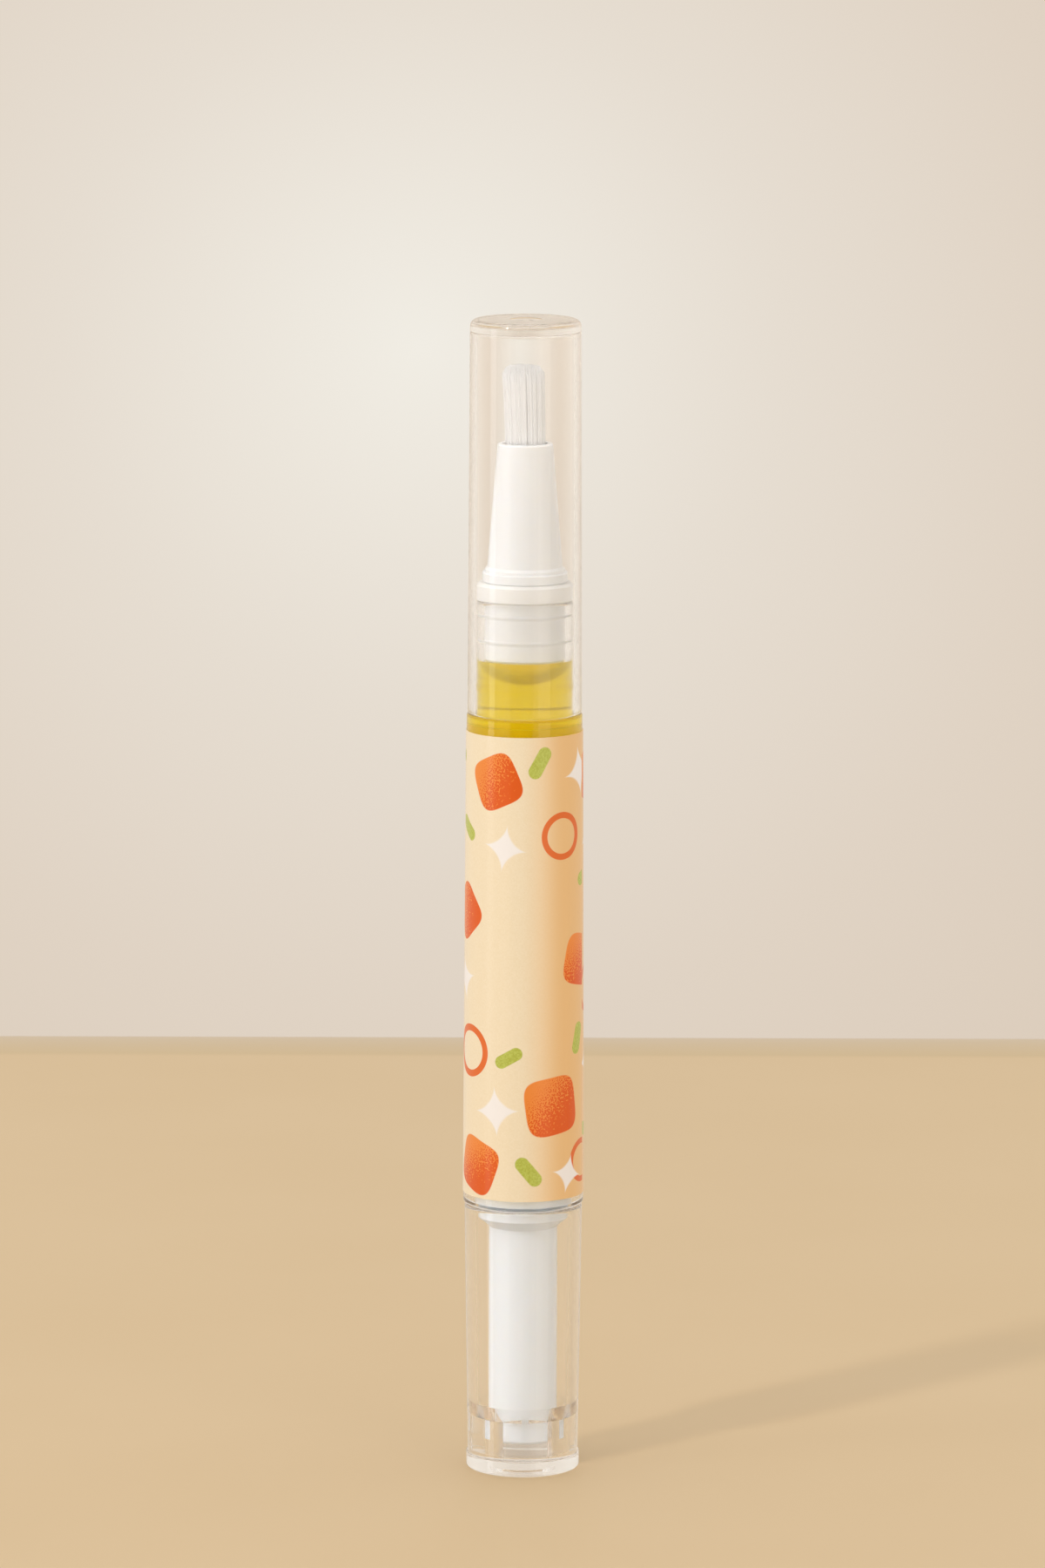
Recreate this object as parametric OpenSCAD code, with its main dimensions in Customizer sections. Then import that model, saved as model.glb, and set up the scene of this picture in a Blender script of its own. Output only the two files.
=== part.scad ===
// Twist-up nail oil pen, standing on its knob with the cap on.
// Z runs up the pen's axis and z = 0 is the underside of the knob.
// The widths build up from the screw outwards, and the heights from the stroke.

/* [Screw] */
// Travel of the piston, which sets how much oil the pen gives
stroke = 31.18; // [20:0.1:45]
// Outer diameter of the screw's thread
screw_d = 4.4; // [3.6:0.1:6]
// Depth of the rounded thread
thread_depth = 0.4; // [0.3:0.05:0.6]
// Rise of the thread in one turn
lead = 2.4; // [1.8:0.1:3]
// Depth of each of the screw's two flats
flat_depth = 0.5; // [0.4:0.05:0.6]
// Radial gap between the screw and the nut
thread_gap = 0.18; // [0.12:0.01:0.25]
// Height by which the head stands out of the screw
head_rise = 0.4; // [0.3:0.05:0.6]
// Thickness of the head
head_h = 1.6; // [1.2:0.1:2]
// Depth to which the neck under the head is drawn in
screw_neck_in = 0.8; // [0.5:0.05:1]
// Height of the nut
nut_h = 8.0; // [6:0.1:12]
// Height of the nut's threaded part
nut_thread_h = 4.8; // [3:0.1:5.6]

/* [Drive core] */
// Space round the screw's tail in the sleeve
tail_space = 0.3; // [0.2:0.05:0.5]
// Wall of the white sleeve
core_wall = 1.5; // [1:0.1:2]
// Height of the sleeve's end above the socket's floor
core_lift = 1.6; // [0.5:0.1:2.5]
// Wall of the spindle round the screw
spindle_wall = 1.2; // [1.1:0.05:1.6]
// Gap between the sleeve's flange and the knob's wall
flange_space = 0.3; // [0.1:0.05:0.6]
// Thickness of the flange
flange_h = 1.2; // [0.8:0.1:2]
// Height of the cone under the flange
flange_cone_h = 1.2; // [0.5:0.1:2.5]
// Height by which the snap bead stands out of the spindle
snap_rise = 0.3; // [0.2:0.05:0.4]

/* [Ratchet] */
// Wall of the click ring's hub at its thinnest
hub_wall = 0.33; // [0.3:0.01:0.5]
// Height of the click ring
click_h = 2.0; // [1.5:0.1:2.4]
// Thickness of a click arm
arm_t = 0.4; // [0.3:0.05:0.6]
// Angle that each click arm spans
arm_angle = 105; // [80:1:130]
// Number of teeth
teeth_n = 18; // [12:1:24]
// Depth of a tooth, and of the space behind a click arm
tooth_depth = 0.45; // [0.35:0.05:0.6]
// Wall behind the teeth
ring_wall = 0.8; // [0.6:0.05:1.2]
// Height of the toothed ring
ratchet_h = 4.0; // [3.6:0.1:5]
// Thickness of the ring's retaining lip
lip_h = 0.6; // [0.4:0.05:0.8]

/* [Barrel] */
// Wall of the barrel at its rim
barrel_wall = 1.25; // [1:0.05:2]
// How far the shoulder lies inside the rim
barrel_fall = 0.3; // [0:0.05:0.4]
// Thickness of the shoulder
shoulder_h = 1.2; // [0.8:0.1:2]
// Length of the neck above the shoulder
neck_h = 13.3; // [9:0.1:18]
// Wall of the neck
neck_wall = 0.85; // [0.6:0.05:1.2]
// Height of the neck's snap bead above the shoulder
neck_bead_z = 3.3; // [1:0.1:6]
// Height by which the bead stands out of the neck
neck_bead_rise = 0.12; // [0.05:0.01:0.2]
// Gap between the knob and the barrel
seam_gap = 0.2; // [0.05:0.05:0.5]

/* [Knob] */
// How far the knob's open end lies inside the barrel's rim
knob_step = 0.15; // [0:0.05:0.4]
// How far the knob's foot lies inside its open end
knob_fall = 0.4; // [0:0.05:0.6]
// Wall of the knob's tube
knob_wall = 1.3; // [0.9:0.05:1.6]
// Step of the disc that the pen stands on
base_lip = 0.15; // [0:0.05:0.5]
// Height of that disc
base_h = 1.8; // [1:0.1:3]
// Thickness of the floor under the hexagonal socket
knob_floor = 1.9; // [1.2:0.1:3]
// Depth of the hexagonal socket
socket_h = 4.3; // [2.5:0.1:8]
// Turn of the socket's corners about the axis
socket_turn = 4; // [0:1:30]
// Diameter of the moulding gate's recess in the underside
foot_recess_d = 4.8; // [3:0.1:8]
// Depth of that recess
foot_recess_h = 0.5; // [0.2:0.1:1]

/* [Label] */
// Thickness of the film
label_t = 0.08; // [0.05:0.01:0.15]
// Bare barrel under the label
label_low_margin = 1.35; // [0.5:0.05:10]
// Bare barrel above the label
label_high_margin = 1.95; // [0.5:0.05:10]
// Angle that the film's end laps over its start
label_lap_angle = 24; // [10:1:60]
// Direction of the lap's outer edge
label_lap_turn = -16; // [-90:1:90]

/* [Piston and oil] */
// Height of the piston
piston_h = 7.0; // [5.5:0.1:10]
// Gap between the piston's lips and the bore
lip_gap = 0.03; // [0.01:0.01:0.06]
// Height of each lip
piston_lip_h = 1.4; // [0.8:0.1:1.8]
// Depth to which the piston's waist is drawn in
piston_waist = 0.5; // [0.3:0.05:0.8]
// Gap between the nut and the piston of a full pen
rest_gap = 4.82; // [0.5:0.1:10]
// Gap left between the spent piston and the shoulder
end_gap = 0.1; // [0.05:0.05:0.5]
// Width of the air bubble under the connector
bubble_d = 6.6; // [4:0.1:8.5]
// Depth of that bubble
bubble_h = 1.8; // [0.8:0.1:2.2]

/* [Connector] */
// Length of the plug inside the neck
plug_h = 7.0; // [5:0.1:8.5]
// Interference of the plug's two beads in the neck
plug_bite = 0.03; // [0.01:0.01:0.04]
// Wall of the plug's lower skirt
plug_skirt = 0.9; // [0.6:0.1:1.4]
// Step of the connector's flange out of the neck
collar_lip = 0.025; // [0:0.005:0.05]
// Height of the flange
collar_h = 2.1; // [1.2:0.1:3.5]
// Ledge of the flange round the cone
collar_ledge = 0.625; // [0.3:0.005:1]
// Length of the spigot that holds the cone
spigot_h = 4.2; // [2.5:0.1:6]
// Wall of the cone round the spigot
spigot_wall = 1.45; // [1:0.05:2]
// Diameter of the feed tube
feed_d = 1.5; // [1.2:0.05:2]
// Wall of the feed tube
feed_wall = 0.35; // [0.2:0.05:0.5]
// Length of the feed tube inside the plug
feed_sunk = 6.0; // [2:0.1:7]

/* [Brush] */
// Height of the white cone
cone_h = 16.0; // [11:0.1:22]
// Wall of the cone
cone_wall = 0.9; // [0.6:0.05:1.2]
// Wall of the cone's mouth at its thinnest
mouth_wall = 0.6; // [0.4:0.05:1]
// Height of the steps round the cone's foot
cone_step_h = 1.2; // [0.8:0.1:2]
// Length of the bristles outside the cone
bristle_out = 9.1; // [6:0.1:14]
// Width of the tuft at the cone
tuft_w = 4.5; // [3.8:0.1:5.2]
// Thickness of the tuft at the cone
tuft_t = 3.2; // [2.6:0.1:3.7]
// Widening of the tuft at its tip, as a factor
tuft_flare = 1.07; // [1:0.01:1.2]
// Strands along each side of the tuft's grid
strand_rows = 19; // [18:1:22]
// Thickness of the tuft's melted root
root_h = 1.4; // [0.8:0.1:2]

/* [Cap] */
// Space between the bristles' tips and the cap's ceiling
tip_space = 3.8; // [1:0.1:8]
// Thickness of the cap's top
cap_roof = 1.4; // [1:0.1:2.5]
// Wall of the cap at its rim
cap_wall = 0.85; // [0.6:0.05:1.1]
// How far the cap's rim lies inside the barrel's shoulder
cap_step = 0.1; // [0:0.05:0.3]
// How far the cap's top lies inside its rim
cap_fall = 0.2; // [0.05:0.05:0.3]
// How far the cap's ceiling lies inside its mouth
cap_bore_fall = 0.15; // [0:0.05:0.2]
// Radius of the cap's rounded top edge
cap_round = 0.8; // [0.4:0.1:1]
// Diameter of the gate's dimple in the top
dimple_d = 3.8; // [2:0.1:6]
// Diameter of the gate's pip in that dimple
pip_d = 0.95; // [0.4:0.05:1.5]

/* [Hidden] */
$fn = 96;

// Clearances and small features that many pieces share
run_gap = 0.08;
slide_gap = 0.1;
oil_gap = 0.02;
key_gap = 0.04;
mouth_gap = 0.2;
core_bite = 0.02;
edge = 0.3;
over = 0.5;

// Sizes of hidden features that no outer piece sets
flange_sunk = 0.1;
works_sunk = 1.5;
spindle_gap = 0.32;
key_w = 0.9;
key_rise = 0.3;
key_n = 4;
drive_h = 2.6;
drive_left = 1.2;
tail_lift = 0.8;
head_roof = 2;
screw_neck_drop = 0.5;
skirt_t = 1.2;
nut_rim = 0.9;
lead_in_h = 1.7;
lead_in_step = 0.6;
neck_bead_h = 0.5;
plug_hollow_share = 1/3;
plug_bead_shares = [1/3, 0.76];
root_sunk = 2.4;
root_space = 0.6;
root_ledge = 0.35;
shoulder_fall = 0.5;
strand_fall = 0.12;

// Radii from the screw out to the barrel
screw_r = screw_d/2;
screw_neck_r = screw_r - screw_neck_in;
head_r = screw_r + head_rise;
screw_flats = screw_d - 2*flat_depth;
core_bore_r = screw_r + tail_space;
core_r = core_bore_r + core_wall;
spindle_r = screw_r + slide_gap + spindle_wall;
key_r = spindle_r - edge;
lip_r = spindle_r + run_gap;
hub_r = key_r + key_gap + hub_wall;
arm_in_r = hub_r + tooth_depth;
arm_r = arm_in_r + arm_t;
tip_r = arm_r + run_gap;
root_r = tip_r + tooth_depth;
bore_r = root_r + ring_wall;
rim_r = bore_r + barrel_wall;
shoulder_r = rim_r - barrel_fall;

// Radii of the knob, the cap and what the cap covers
knob_top_r = rim_r - knob_step;
knob_foot_r = knob_top_r - knob_fall;
knob_base_r = knob_foot_r + base_lip;
flange_r = knob_top_r - knob_wall - flange_space;
cap_rim_r = shoulder_r - cap_step;
cap_top_r = cap_rim_r - cap_fall;
cap_bore_r = cap_rim_r - cap_wall;
cap_ceiling_r = cap_bore_r - cap_bore_fall;
neck_r = cap_bore_r - run_gap - neck_bead_rise;
neck_bore_r = neck_r - neck_wall;
plug_r = neck_bore_r - plug_bite;
collar_r = neck_r + collar_lip;
cone_foot_r = collar_r - collar_ledge;
spigot_r = cone_foot_r - spigot_wall;
feed_r = feed_d/2;

// Width and thickness of the tuft's mouth in the cone, and of its root
mouth_w = tuft_w*tuft_flare + 2*mouth_gap;
mouth_t = tuft_t*tuft_flare + 2*mouth_gap;
root_w = tuft_w + 2*root_ledge;
root_t = tuft_t + 2*root_ledge;
cone_tip_r = mouth_w/2 + mouth_wall;

// Heights of the works at rest in a full pen, from the screw's tail upwards
core_z = knob_floor + core_lift;
tail_z = core_z + tail_lift;
drive_z = tail_z + stroke - drive_left;
spindle_top_z = drive_z + drive_h;
nut_z = spindle_top_z + spindle_gap;
nut_top_z = nut_z + nut_h;
ratchet_z = nut_z - ratchet_h;
teeth_z = ratchet_z + lip_h;
piston_z = nut_top_z + rest_gap;
piston_top_z = piston_z + piston_h;
head_top_z = piston_top_z - head_roof;
head_z = head_top_z - head_h;
thread_top_z = piston_z - screw_neck_drop;

// Heights of the knob and the barrel
barrel_z = ratchet_z - works_sunk;
knob_h = barrel_z - seam_gap;
journal_z = knob_h - flange_sunk;
flange_z = journal_z - flange_h;
roof_z = piston_top_z + stroke + end_gap;
shoulder_z = roof_z + shoulder_h;
neck_top_z = shoulder_z + neck_h;
plug_z = neck_top_z - plug_h;

// Heights of the brush and the cap
cone_z = neck_top_z + collar_h;
cone_top_z = cone_z + cone_h;
root_top_z = cone_top_z - root_sunk;
root_z = root_top_z - root_h;
bristle_top_z = cone_top_z + bristle_out;
ceiling_z = bristle_top_z + tip_space;
cap_top_z = ceiling_z + cap_roof;

// A turned solid from the half outline [radius, height]
module turned(outline) {
    rotate_extrude() polygon(outline);
}

// A turned solid whose outline also holds a disc that rounds one corner
module turned_round(outline, round_r, at) {
    rotate_extrude() {
        polygon(outline);
        translate(at) circle(r = round_r);
    }
}

// Radius on a straight taper between two heights
function taper(r_low, r_high, z_low, z_high, z) =
    r_low + (r_high - r_low)*(z - z_low)/(z_high - z_low);

function barrel_r(z) = taper(rim_r, shoulder_r, barrel_z, shoulder_z, z);
function knob_r(z) = taper(knob_foot_r, knob_top_r, base_h, knob_h, z);

// The knob: a thick clear tube on a disc, with a hexagonal socket for the sleeve
socket_top_z = knob_floor + socket_h;
lead_in_z = socket_top_z + lead_in_h;
socket_r = core_r - core_bite;

module knob() {
    color([0.93, 0.9, 0.86, 0.35])
    difference() {
        union() {
            turned_round([[0, 0], [knob_base_r - edge, 0], [knob_base_r, edge],
                          [knob_base_r, base_h - edge/2], [knob_base_r - edge/2, base_h],
                          [0, base_h]], edge, [knob_base_r - edge, edge]);
            turned([[0, base_h - edge], [knob_foot_r, base_h - edge],
                    [knob_foot_r, base_h], [knob_top_r, knob_h - edge],
                    [knob_top_r - edge/2, knob_h], [0, knob_h]]);
        }
        turned([[0, lead_in_z], [knob_r(lead_in_z) - knob_wall, lead_in_z],
                [knob_top_r - knob_wall, knob_h], [knob_top_r - knob_wall, knob_h + over],
                [0, knob_h + over]]);
        turned([[0, socket_top_z], [core_r + lead_in_step, socket_top_z],
                [knob_r(lead_in_z) - knob_wall, lead_in_z], [0, lead_in_z]]);
        translate([0, 0, knob_floor])
        rotate([0, 0, socket_turn])
        cylinder(r = socket_r/cos(30), h = lead_in_z - knob_floor, $fn = 6);
        translate([0, 0, -over])
        cylinder(r = foot_recess_d/2, h = foot_recess_h + over);
    }
}

// The drive core: the white sleeve, its flange, and the spindle that turns in the barrel
module drive_core() {
    journal_r = bore_r - run_gap;
    bead_z = teeth_z + run_gap;
    color([0.97, 0.96, 0.95])
    difference() {
        union() {
            turned([[0, core_z], [core_r - edge, core_z], [core_r, core_z + edge],
                    [core_r, flange_z - flange_cone_h], [flange_r, flange_z],
                    [flange_r, journal_z], [0, journal_z]]);
            turned([[0, journal_z], [spindle_r + edge, journal_z], [spindle_r + edge, barrel_z + edge],
                    [journal_r, barrel_z + edge], [journal_r, ratchet_z - run_gap],
                    [0, ratchet_z - run_gap]]);
            turned([[0, ratchet_z - over], [spindle_r, ratchet_z - over], [spindle_r, bead_z],
                    [spindle_r + snap_rise, bead_z + snap_rise], [spindle_r, bead_z + 2*snap_rise],
                    [0, bead_z + 2*snap_rise]]);
            spindle_key(0, bead_z, spindle_top_z);
        }
        translate([0, 0, core_z - over])
        cylinder(r = core_bore_r, h = drive_z - core_z + over);
        translate([0, 0, drive_z - over])
        linear_extrude(spindle_top_z - drive_z + 2*over)
        intersection() {
            circle(r = screw_r + slide_gap);
            square([2*spindle_r, screw_flats + 2*slide_gap], center = true);
        }
    }
}

// The spindle's upper end, which has two flats for the click ring
module spindle_key(gap, z_low, z_high) {
    translate([0, 0, z_low])
    linear_extrude(z_high - z_low)
    intersection() {
        circle(r = key_r + gap);
        square([2*spindle_r, 2*(key_r - edge + gap)], center = true);
    }
}

// A tooth's pitch, and the shares of it that its ramp takes and where a pawl starts and ends
teeth_pitch = 360/teeth_n;
ramp_share = 0.85;
pawl_share = 0.21;
heel_share = 0.9;

// Radius of a tooth's ramp at a share of the pitch
function ramp_r(turn_share) = taper(root_r, tip_r, 1 - ramp_share, 1, turn_share);

// A point at a radius and an angle
function polar(r, a) = r*[cos(a), sin(a)];

// Points along an arc
function arc(r, from, to, steps = 24) = [for (i = [0:steps]) polar(r, from + (to - from)*i/steps)];

// The click ring: a hub with two trailing spring arms, each with a pawl between two teeth
module click_ring() {
    pawl_a = teeth_pitch*pawl_share;
    heel_a = teeth_pitch*heel_share;
    post_a = arm_angle - teeth_pitch/2;
    post_end_a = arm_angle + teeth_pitch/2;
    click_z = spindle_top_z - click_h;
    color([0.9, 0.92, 0.94])
    difference() {
        translate([0, 0, click_z])
        linear_extrude(click_h) {
            circle(r = hub_r);
            for (side = [0, 180]) rotate([0, 0, side])
            polygon(concat([polar(ramp_r(pawl_share) - run_gap, pawl_a)], arc(arm_r, heel_a, post_end_a),
                           [polar(key_r, post_end_a), polar(key_r, post_a)], arc(arm_in_r, post_a, pawl_a)));
        }
        spindle_key(key_gap, click_z - over, spindle_top_z + over);
    }
}

// The ratchet ring: saw teeth inside, a lip under them, and slots for the barrel's keys
module ratchet_ring() {
    color([0.88, 0.9, 0.9])
    difference() {
        translate([0, 0, ratchet_z]) cylinder(r = bore_r, h = ratchet_h);
        translate([0, 0, ratchet_z - over]) cylinder(r = lip_r, h = ratchet_h + 2*over);
        translate([0, 0, teeth_z])
        linear_extrude(ratchet_h - lip_h + over)
        polygon([for (i = [0:teeth_n - 1]) each [polar(tip_r, teeth_pitch*i),
                                                 polar(root_r, teeth_pitch*(i + 1 - ramp_share))]]);
        key_slots(ratchet_z - over, nut_z + over);
    }
}

// Slots that clear the barrel's keys
module key_slots(z_low, z_high) {
    for (i = [0:key_n - 1]) rotate([0, 0, 45 + 360*i/key_n])
    translate([bore_r - key_rise - key_gap, -key_w/2 - key_gap, z_low])
    cube([key_rise + over, key_w + 2*key_gap, z_high - z_low]);
}

// Radius of the screw's rounded thread at a height and an angle, grown by a gap
function thread_r(z, a, gap) =
    screw_r - thread_depth/2 + thread_depth/2*cos(360*z/lead - a) + gap;

// Points of a ring on the thread, cut off by the flats where there are any
function thread_ring(z, sides, gap, flats) = [for (i = [0:sides - 1])
    let (a = 360*i/sides, r = thread_r(z, a, gap), across = abs(sin(a)))
    min(r, across*r > flats/2 ? flats/2/across : r)*[cos(a), sin(a), 0] + [0, 0, z]];

// A threaded bar as one closed skin
module threaded_bar(z_low, z_high, gap, flats) {
    sides = 18;
    rings = ceil((z_high - z_low)/(lead/5));
    points = [for (k = [0:rings]) each thread_ring(z_low + (z_high - z_low)*k/rings, sides, gap, flats)];
    last = rings*sides;
    faces = concat(
        [[for (i = [0:sides - 1]) i]],
        [for (k = [0:rings - 1], i = [0:sides - 1])
            let (a = k*sides + i, b = k*sides + (i + 1)%sides)
            each [[a, a + sides, b], [b, a + sides, b + sides]]],
        [[for (i = [sides - 1:-1:0]) last + i]]);
    polyhedron(points, faces);
}

// The nut: fixed in the barrel, with the thread in its lower half
module thread_nut() {
    color([0.9, 0.9, 0.88])
    difference() {
        translate([0, 0, nut_z]) cylinder(r = bore_r, h = nut_h);
        threaded_bar(nut_z - over, nut_z + nut_thread_h + over, thread_gap, 2*bore_r);
        translate([0, 0, nut_z + nut_thread_h])
        cylinder(r = bore_r - nut_rim, h = nut_h - nut_thread_h + over);
        key_slots(nut_z - over, nut_top_z + over);
    }
}

// The screw: thread with two flats, a thin neck and a head that snaps into the piston
module screw_rod() {
    color([0.95, 0.95, 0.93]) {
        threaded_bar(tail_z, thread_top_z, 0, screw_flats);
        translate([0, 0, thread_top_z - over])
        cylinder(r = screw_neck_r, h = head_z - thread_top_z + 2*over);
        turned([[0, head_z], [head_r, head_z], [head_r, head_z + head_h/2],
                [screw_neck_r, head_top_z], [0, head_top_z]]);
    }
}

// The piston: two sealing lips, a waist, and a socket for the screw's head
module piston() {
    lip_out_r = bore_r - lip_gap;
    waist_r = lip_out_r - piston_waist;
    gap = slide_gap;
    color([0.86, 0.9, 0.93])
    difference() {
        turned([[0, piston_z], [lip_out_r - edge/2, piston_z], [lip_out_r, piston_z + edge],
                [lip_out_r, piston_z + piston_lip_h], [waist_r, piston_z + piston_lip_h + piston_waist],
                [waist_r, piston_top_z - piston_lip_h - piston_waist],
                [lip_out_r, piston_top_z - piston_lip_h], [lip_out_r, piston_top_z], [0, piston_top_z]]);
        translate([0, 0, piston_z - over])
        cylinder(r = screw_neck_r + gap, h = head_z - piston_z + 2*over);
        turned([[0, head_z - gap], [head_r + gap, head_z - gap],
                [head_r + gap, head_top_z + gap], [0, head_top_z + gap]]);
        turned([[0, piston_z - over], [bore_r - skirt_t, piston_z - over],
                [bore_r - skirt_t, piston_z + piston_lip_h - edge], [0, piston_z + piston_lip_h - edge]]);
    }
}

// The barrel: a clear tapered tube with a shoulder, a neck and keys for the fixed works
module barrel() {
    bead_z = shoulder_z + neck_bead_z;
    color([0.93, 0.92, 0.9, 0.35])
    difference() {
        union() {
            turned([[0, barrel_z], [rim_r - edge, barrel_z], [barrel_r(barrel_z + edge), barrel_z + edge],
                    [barrel_r(shoulder_z - edge), shoulder_z - edge],
                    [barrel_r(shoulder_z - edge) - edge, shoulder_z], [0, shoulder_z]]);
            turned([[0, shoulder_z - over], [neck_r, shoulder_z - over], [neck_r, bead_z - neck_bead_h],
                    [neck_r + neck_bead_rise, bead_z], [neck_r, bead_z + neck_bead_h],
                    [neck_r, neck_top_z - edge], [neck_r - edge/2, neck_top_z], [0, neck_top_z]]);
        }
        difference() {
            translate([0, 0, barrel_z - over]) cylinder(r = bore_r, h = roof_z - barrel_z + over);
            for (i = [0:key_n - 1]) rotate([0, 0, 45 + 360*i/key_n])
            translate([bore_r - key_rise, -key_w/2, ratchet_z])
            cube([key_rise + over, key_w, nut_top_z - ratchet_z]);
        }
        cylinder(r = neck_bore_r, h = neck_top_z + over);
    }
}

// The oil under the shoulder, which the piston drives out
module barrel_oil() {
    color([0.93, 0.76, 0.05])
    translate([0, 0, piston_top_z]) cylinder(r = bore_r - oil_gap, h = roof_z - piston_top_z);
}

// The oil in the neck, up to the connector's plug, with the air bubble that is left under it
module neck_oil() {
    bubble_r = (pow(bubble_d/2, 2) + pow(bubble_h, 2))/2/bubble_h;
    color([0.93, 0.76, 0.05])
    difference() {
        translate([0, 0, roof_z]) cylinder(r = neck_bore_r - oil_gap, h = plug_z - roof_z);
        translate([0, 0, plug_z - bubble_h + bubble_r]) sphere(r = bubble_r);
    }
}

// The label: a printed film round the barrel whose end laps over its start
label_z = barrel_z + label_low_margin;
label_top_z = shoulder_z - label_high_margin;

module label_wrap() {
    color([0.98, 0.87, 0.68]) {
        label_skin(0, 360);
        rotate([0, 0, label_lap_turn - label_lap_angle]) label_skin(label_t, label_lap_angle);
    }
}

// One layer of film at a distance from the barrel
module label_skin(lift, angle) {
    low_r = barrel_r(label_z) + lift;
    high_r = barrel_r(label_top_z) + lift;
    rotate_extrude(angle = angle)
    polygon([[low_r, label_z], [low_r + label_t, label_z],
             [high_r + label_t, label_top_z], [high_r, label_top_z]]);
}

// The connector: plug with two beads, flange and spigot, bored for the feed tube
module neck_connector() {
    bead_r = neck_bore_r + plug_bite;
    low_bead_z = plug_z + plug_h*plug_bead_shares[0];
    high_bead_z = plug_z + plug_h*plug_bead_shares[1];
    hollow_z = plug_z + plug_h*plug_hollow_share;
    color([0.95, 0.95, 0.94, 0.8])
    difference() {
        union() {
            turned([[0, plug_z], [plug_r - edge, plug_z], [plug_r, plug_z + edge],
                    [plug_r, low_bead_z - edge], [bead_r, low_bead_z], [plug_r, low_bead_z + edge],
                    [plug_r, high_bead_z - edge], [bead_r, high_bead_z], [plug_r, high_bead_z + edge],
                    [plug_r, neck_top_z], [0, neck_top_z]]);
            turned([[0, neck_top_z], [collar_r - edge/2, neck_top_z], [collar_r, neck_top_z + edge/2],
                    [collar_r, cone_z - edge], [collar_r - edge, cone_z], [0, cone_z]]);
            turned([[0, cone_z - over], [spigot_r, cone_z - over], [spigot_r, cone_z + spigot_h - edge],
                    [spigot_r - edge, cone_z + spigot_h], [0, cone_z + spigot_h]]);
        }
        translate([0, 0, neck_top_z - feed_sunk])
        cylinder(r = feed_r, h = cone_top_z - neck_top_z);
        translate([0, 0, plug_z - over])
        cylinder(r = feed_r - feed_wall, h = plug_h + 2*over);
        turned([[0, plug_z - over], [plug_r - plug_skirt, plug_z - over],
                [plug_r - plug_skirt - edge, hollow_z], [0, hollow_z]]);
    }
}

// The feed tube: from the connector to the tuft's root
module feed_tube() {
    low_z = neck_top_z - feed_sunk;
    color([0.92, 0.93, 0.94])
    difference() {
        translate([0, 0, low_z]) cylinder(r = feed_r, h = root_z - low_z);
        translate([0, 0, low_z - over]) cylinder(r = feed_r - feed_wall, h = root_z - low_z + 2*over);
    }
}

// Radius of the cone's outside above its foot
function cone_r(z) = taper(cone_foot_r - 2*edge, cone_tip_r, cone_z + cone_step_h + 2*edge, cone_top_z, z);

// An upright oval prism
module oval(w, t, z_low, z_high) {
    translate([0, 0, z_low]) linear_extrude(z_high - z_low) scaled_circle(w, t);
}

// An oval outline with round ends, as wide and thick as given
module scaled_circle(w, t) {
    square([w - t, t], center = true);
    for (side = [-1, 1]) translate([side*(w - t)/2, 0]) circle(r = t/2);
}

// The cone: a stepped foot on the connector's flange, and an oval mouth for the tuft
module brush_cone() {
    step_z = cone_z + cone_step_h;
    inner_top_z = root_z - root_space;
    color([0.97, 0.97, 0.96])
    difference() {
        turned([[0, cone_z], [cone_foot_r - edge/2, cone_z], [cone_foot_r, cone_z + edge/2],
                [cone_foot_r, step_z - edge/2], [cone_foot_r - edge/2, step_z],
                [cone_foot_r - edge, step_z], [cone_foot_r - edge, step_z + edge],
                [cone_foot_r - 2*edge, step_z + 2*edge], [cone_tip_r, cone_top_z - edge/2],
                [cone_tip_r - edge/2, cone_top_z], [0, cone_top_z]]);
        turned([[0, cone_z - over], [spigot_r, cone_z - over], [spigot_r, cone_z + spigot_h],
                [cone_r(inner_top_z) - cone_wall, inner_top_z], [0, inner_top_z]]);
        oval(root_w + mouth_gap, root_t + mouth_gap, inner_top_z - over, root_top_z);
        oval(mouth_w, mouth_t, root_top_z - over, cone_top_z + over);
    }
}

// Places across the tuft's grid from -1 to 1: each strand is a pair of lines with a gap after it
strand_share = 0.66;
line_n = 2*strand_rows;
function grid_line(i) =
    let (k = floor(i/2)) -1 + 2*(k + (i%2)*strand_share)/(strand_rows - 1 + strand_share);

// A place on the square grid laid over the tuft's oval
function in_oval(u, v, w, t) = [w/2*u*sqrt(1 - v*v/2), t/2*v*sqrt(1 - u*u/2)];

// Height of a strand's end: the tuft's shoulders are rounded, and no two strands end alike
function strand_top(i, j) =
    let (u = 2*i/(strand_rows - 1) - 1, v = 2*j/(strand_rows - 1) - 1, out = max(abs(u), abs(v)))
    bristle_top_z - shoulder_fall*pow(out, 6) - strand_fall*abs(sin(997*i + 613*j));

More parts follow.
